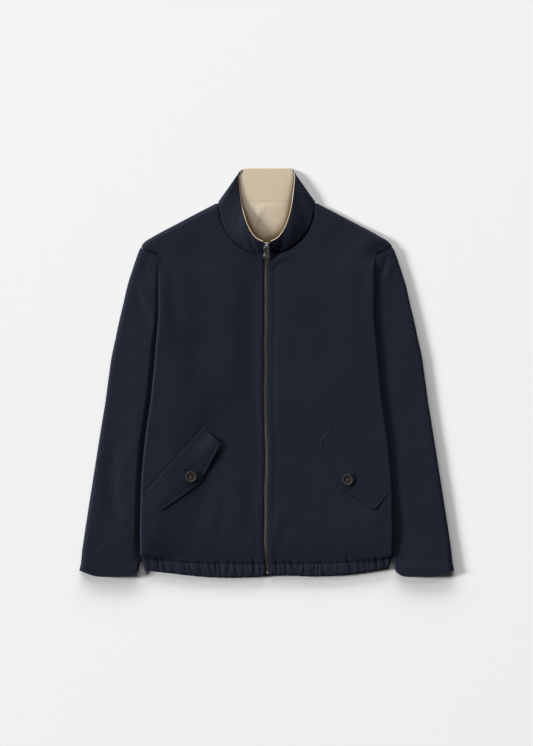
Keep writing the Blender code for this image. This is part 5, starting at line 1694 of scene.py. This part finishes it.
buttonhole = {
    "start": 2.0, "legApart": 0.72, "eye": 1.9, "cord": 0.42, "purl": 0.07, "slitShade": 0.5, "eyeSlit": 0.8,
}


def makeButtonhole(side, word):
    # keyhole edging: up one side from under the button, round the eye and back, over a dark tube that paints
    # the shade in the cut
    middle = np.array(buttonAt(side))
    toEye = np.array([flapKeys[side]["eyeAt"] * flapLong(side), flapKeys[side]["eyeIn"]]) - middle
    run = float(np.linalg.norm(toEye))
    toEye = toEye / run
    across = np.array([-toEye[1], toEye[0]])
    turn = np.linspace(-2.35, 2.35, 40)
    leg = np.linspace(buttonhole["start"], run - 1.3, 26)
    apart = np.full(len(leg), buttonhole["legApart"])
    line = np.concatenate([
        np.stack([leg, -apart], axis=1),
        np.stack([run + buttonhole["eye"] * np.cos(turn), buttonhole["eye"] * np.sin(turn)], axis=1),
        np.stack([leg[::-1], apart], axis=1),
    ])
    line = spacedLine(line, 190)
    path = flapPath(middle + line @ np.array([toEye, across]), side, 0.12)
    purl = buttonhole["cord"] + buttonhole["purl"] * np.sin(np.arange(len(line)) * 2.1)
    joinedPiece(f"buttonhole_{word}_edge", [tubeParts(path, purl)], navyThread)
    # painted shade: a dark tube of tape cloth stands in for the shade seen in the cut
    leg = np.linspace(buttonhole["start"], run + 1.4, 40)
    low = flapPath(middle + leg[:, None] * toEye, side, -0.4)
    inEye = ease((leg - run + 1.6) / 1.2) * (1 - ease((leg - run - 0.6) / 1.0))
    wide = buttonhole["slitShade"] + buttonhole["eyeSlit"] * inEye
    joinedPiece(f"buttonhole_{word}_slit", [tubeParts(low, wide)], tapeCloth)


for side, word in sides:
    makeButton(side, word)
    makeButtonThread(side, word)
    makeButtonhole(side, word)
print("buttons made")


# Sewing lines.

flapSewing = {"pitch": 3.1, "length": 2.6, "width": 0.5, "height": 0.5, "sink": 0.15}
fineSewing = dict(flapSewing, pitch=2.7, length=2.2, width=0.42, height=0.42)
facingSewing = dict(flapSewing, pitch=2.7, length=2.1, width=0.36, height=0.36, sink=0.2)


def upright(line):
    return np.tile((0.0, 0.0, 1.0), (len(line), 1))


def onFront(x, y, side):
    # points on a front and the directions off its surface, from the slopes over a small step
    step = 0.8
    gx = (frontSurface(x + step, y, side) - frontSurface(x - step, y, side)) / (2 * step)
    gy = (frontSurface(x, y + step, side) - frontSurface(x, y - step, side)) / (2 * step)
    line = np.stack([x, y, frontSurface(x, y, side)], axis=1)
    return swayed(line), unit(np.stack([-gx, -gy, np.ones_like(gx)], axis=1))


def flapStitchLine(side):
    # the three free sides moved in by the inset, each as a straight run cut where they meet
    keys, length = flapKeys[side], flapLong(side)
    lean, ends = keys["lean"], keys["endDeep"]
    point = (keys["pointAt"] * length + lean * keys["pointDeep"], keys["pointDeep"])
    corners = np.array([(0.0, 0.0), (lean * ends, ends), point, (length + lean * ends, ends), (length, 0.0)])
    runs = unit(np.diff(corners, axis=0))
    inward = np.stack([runs[:, 1], -runs[:, 0]], axis=1) * flap["inset"]
    moved = corners[:-1] + inward
    line = [moved[0] + runs[0] * 2.0]
    for k in range(3):
        cross = runs[k, 0] * runs[k + 1, 1] - runs[k, 1] * runs[k + 1, 0]
        gap = moved[k + 1] - moved[k]
        t = (gap[0] * runs[k + 1, 1] - gap[1] * runs[k + 1, 0]) / cross
        line.append(moved[k] + runs[k] * t)
    line.append(corners[-1] + inward[3] - runs[3] * 2.0)
    return spacedLine(np.array(line), 220)


def cuffLine(side):
    # across the top of a sleeve, as far from its end as it is turned in
    grid, toEnd, onTop = sleeveGrid(side)
    columns = np.flatnonzero(onTop > 0)[2:-2]
    line = np.array([alongLine(grid[:, k], -toEnd[:, k], -sleeve["hemWide"]) for k in columns])
    return spacedLine(line * (side, 1.0, 1.0), 300)


def collarStitchLine(inside):
    # along the collar's top edge on its outer side, or on its inner side where the back shows it
    v = 1 - collar["facingStitchIn" if inside else "stitchIn"] / collarLong
    line = collarAt(v)[:, 0]
    up = gridNormals(collarAt(np.concatenate([v - 0.05, v, v + 0.05], axis=1)))[:, 1]
    lying = (1 - collarStands)[:, 0] > 0.5
    if inside:
        return [((line - up * (collar["thick"] + collar["gap"] - 0.05))[lying], -up[lying])]
    half = len(line) // 2
    left, right = np.flatnonzero(~lying[:half]), half + np.flatnonzero(~lying[half:])
    return [((line - up * 0.2)[k], up[k]) for k in (left, right)]


def sewSide(side, word):
    # a flap's border, a front's zip edge, placket and hem seam, and a cuff
    line = flapPath(flapStitchLine(side), side)
    sewnPiece(f"flap_{word}_topstitch", [(line, upright(line))], navyThread, flapSewing)
    y = np.linspace(-371.5, 226.5, 500)
    insets = (front["edgeStitch"], front["placketStitch"])
    lines = [onFront(side * (front["zipHalf"] + inward) + 0 * y, y, side) for inward in insets]
    x = side * np.linspace(6.5, 243.0, 420)
    lines.append(onFront(x, stitchY(x) + 1.1, side))
    sewnPiece(f"front_{word}_topstitch", lines, navyThread, fineSewing)
    line = cuffLine(side)
    sewnPiece(f"sleeve_{word}_topstitch", [(line, upright(line))], navyThread, fineSewing)


sewnPiece("collar_facing_topstitch", collarStitchLine(True), beigeThread, facingSewing)
sewnPiece("collar_topstitch", collarStitchLine(False), navyThread, fineSewing)
for side, word in sides:
    sewSide(side, word)
print("collar, front, flap and cuff stitching made")


# Stage, light and camera.

view = {"aimX": -0.0004, "aimY": -0.0024, "height": 4.04, "lens": 100.0, "sensor": 36.0}
floorLook = {"half": 6.0, "low": -0.0002, "colour": (0.80, 0.80, 0.80), "rough": 0.9, "gloss": 0.1}
lightLook = {
    "left": {"turn": 176.0, "rise": 16.5, "far": 60.0, "wide": 11.5, "tall": 11.5, "power": 67400.0},
    "top": {"turn": 102.0, "rise": 11.5, "far": 48.0, "wide": 84.0, "tall": 10.0, "power": 46300.0},
    "upper": {"turn": 100.0, "rise": 27.0, "far": 48.0, "wide": 70.0, "tall": 26.0, "power": 13800.0},
}
roomLook = {"dome": 0.045, "seen": 0.86}  # light of the dome, and how pale it is past the floor


def makeStage():
    mesh = bpy.data.meshes.new("floor")
    half = floorLook["half"]
    corners = [(-half, -half), (half, -half), (half, half), (-half, half)]
    mesh.from_pydata([(x, y, floorLook["low"]) for x, y in corners], [], [(0, 1, 2, 3)])
    material, _, _ = newMaterial("pale floor", {
        "Roughness": floorLook["rough"], "Specular IOR Level": floorLook["gloss"],
        "Base Color": (*floorLook["colour"], 1.0),
    })
    mesh.materials.append(material)
    floor = bpy.data.objects.new("floor", mesh)
    bpy.context.scene.collection.objects.link(floor)


def makeLight(name, look):
    # a soft oval that faces the jacket from the given turn round it and rise above the floor
    light = bpy.data.lights.new(name, "AREA")
    light.shape = "ELLIPSE"
    light.size = look["wide"]
    light.size_y = look["tall"]
    light.energy = look["power"]
    lamp = bpy.data.objects.new(name, light)
    lamp.visible_camera = False
    turn, rise = math.radians(look["turn"]), math.radians(look["rise"])
    toward = (math.cos(rise) * math.cos(turn), math.cos(rise) * math.sin(turn), math.sin(rise))
    lamp.location = [look["far"] * t for t in toward]
    lamp.rotation_euler = (math.pi / 2 - rise, 0.0, turn + math.pi / 2)
    bpy.context.scene.collection.objects.link(lamp)


def makeCamera():
    camera = bpy.data.cameras.new("camera")
    camera.lens = view["lens"]
    camera.sensor_width = view["sensor"]
    holder = bpy.data.objects.new("camera", camera)
    holder.location = (view["aimX"], view["aimY"], view["height"])
    bpy.context.scene.collection.objects.link(holder)
    bpy.context.scene.camera = holder


def makeRoom():
    # dim light from all round; the camera sees the room past the floor as pale as the floor
    world = bpy.data.worlds.new("studio")
    world.use_nodes = True
    tree = world.node_tree
    glow = tree.nodes["Background"]
    glow.inputs["Color"].default_value = (1.0, 1.0, 1.0, 1.0)
    rays = tree.nodes.new("ShaderNodeLightPath")
    level = tree.nodes.new("ShaderNodeMapRange")
    level.inputs["To Min"].default_value = roomLook["dome"]
    level.inputs["To Max"].default_value = roomLook["seen"]
    tree.links.new(rays.outputs["Is Camera Ray"], level.inputs["Value"])
    tree.links.new(level.outputs[0], glow.inputs["Strength"])
    bpy.context.scene.world = world
    bpy.context.scene.view_settings.view_transform = "Standard"


makeStage()
for place, look in lightLook.items():
    makeLight(f"{place} light", look)
makeCamera()
makeRoom()
print("stage, lights and camera made")
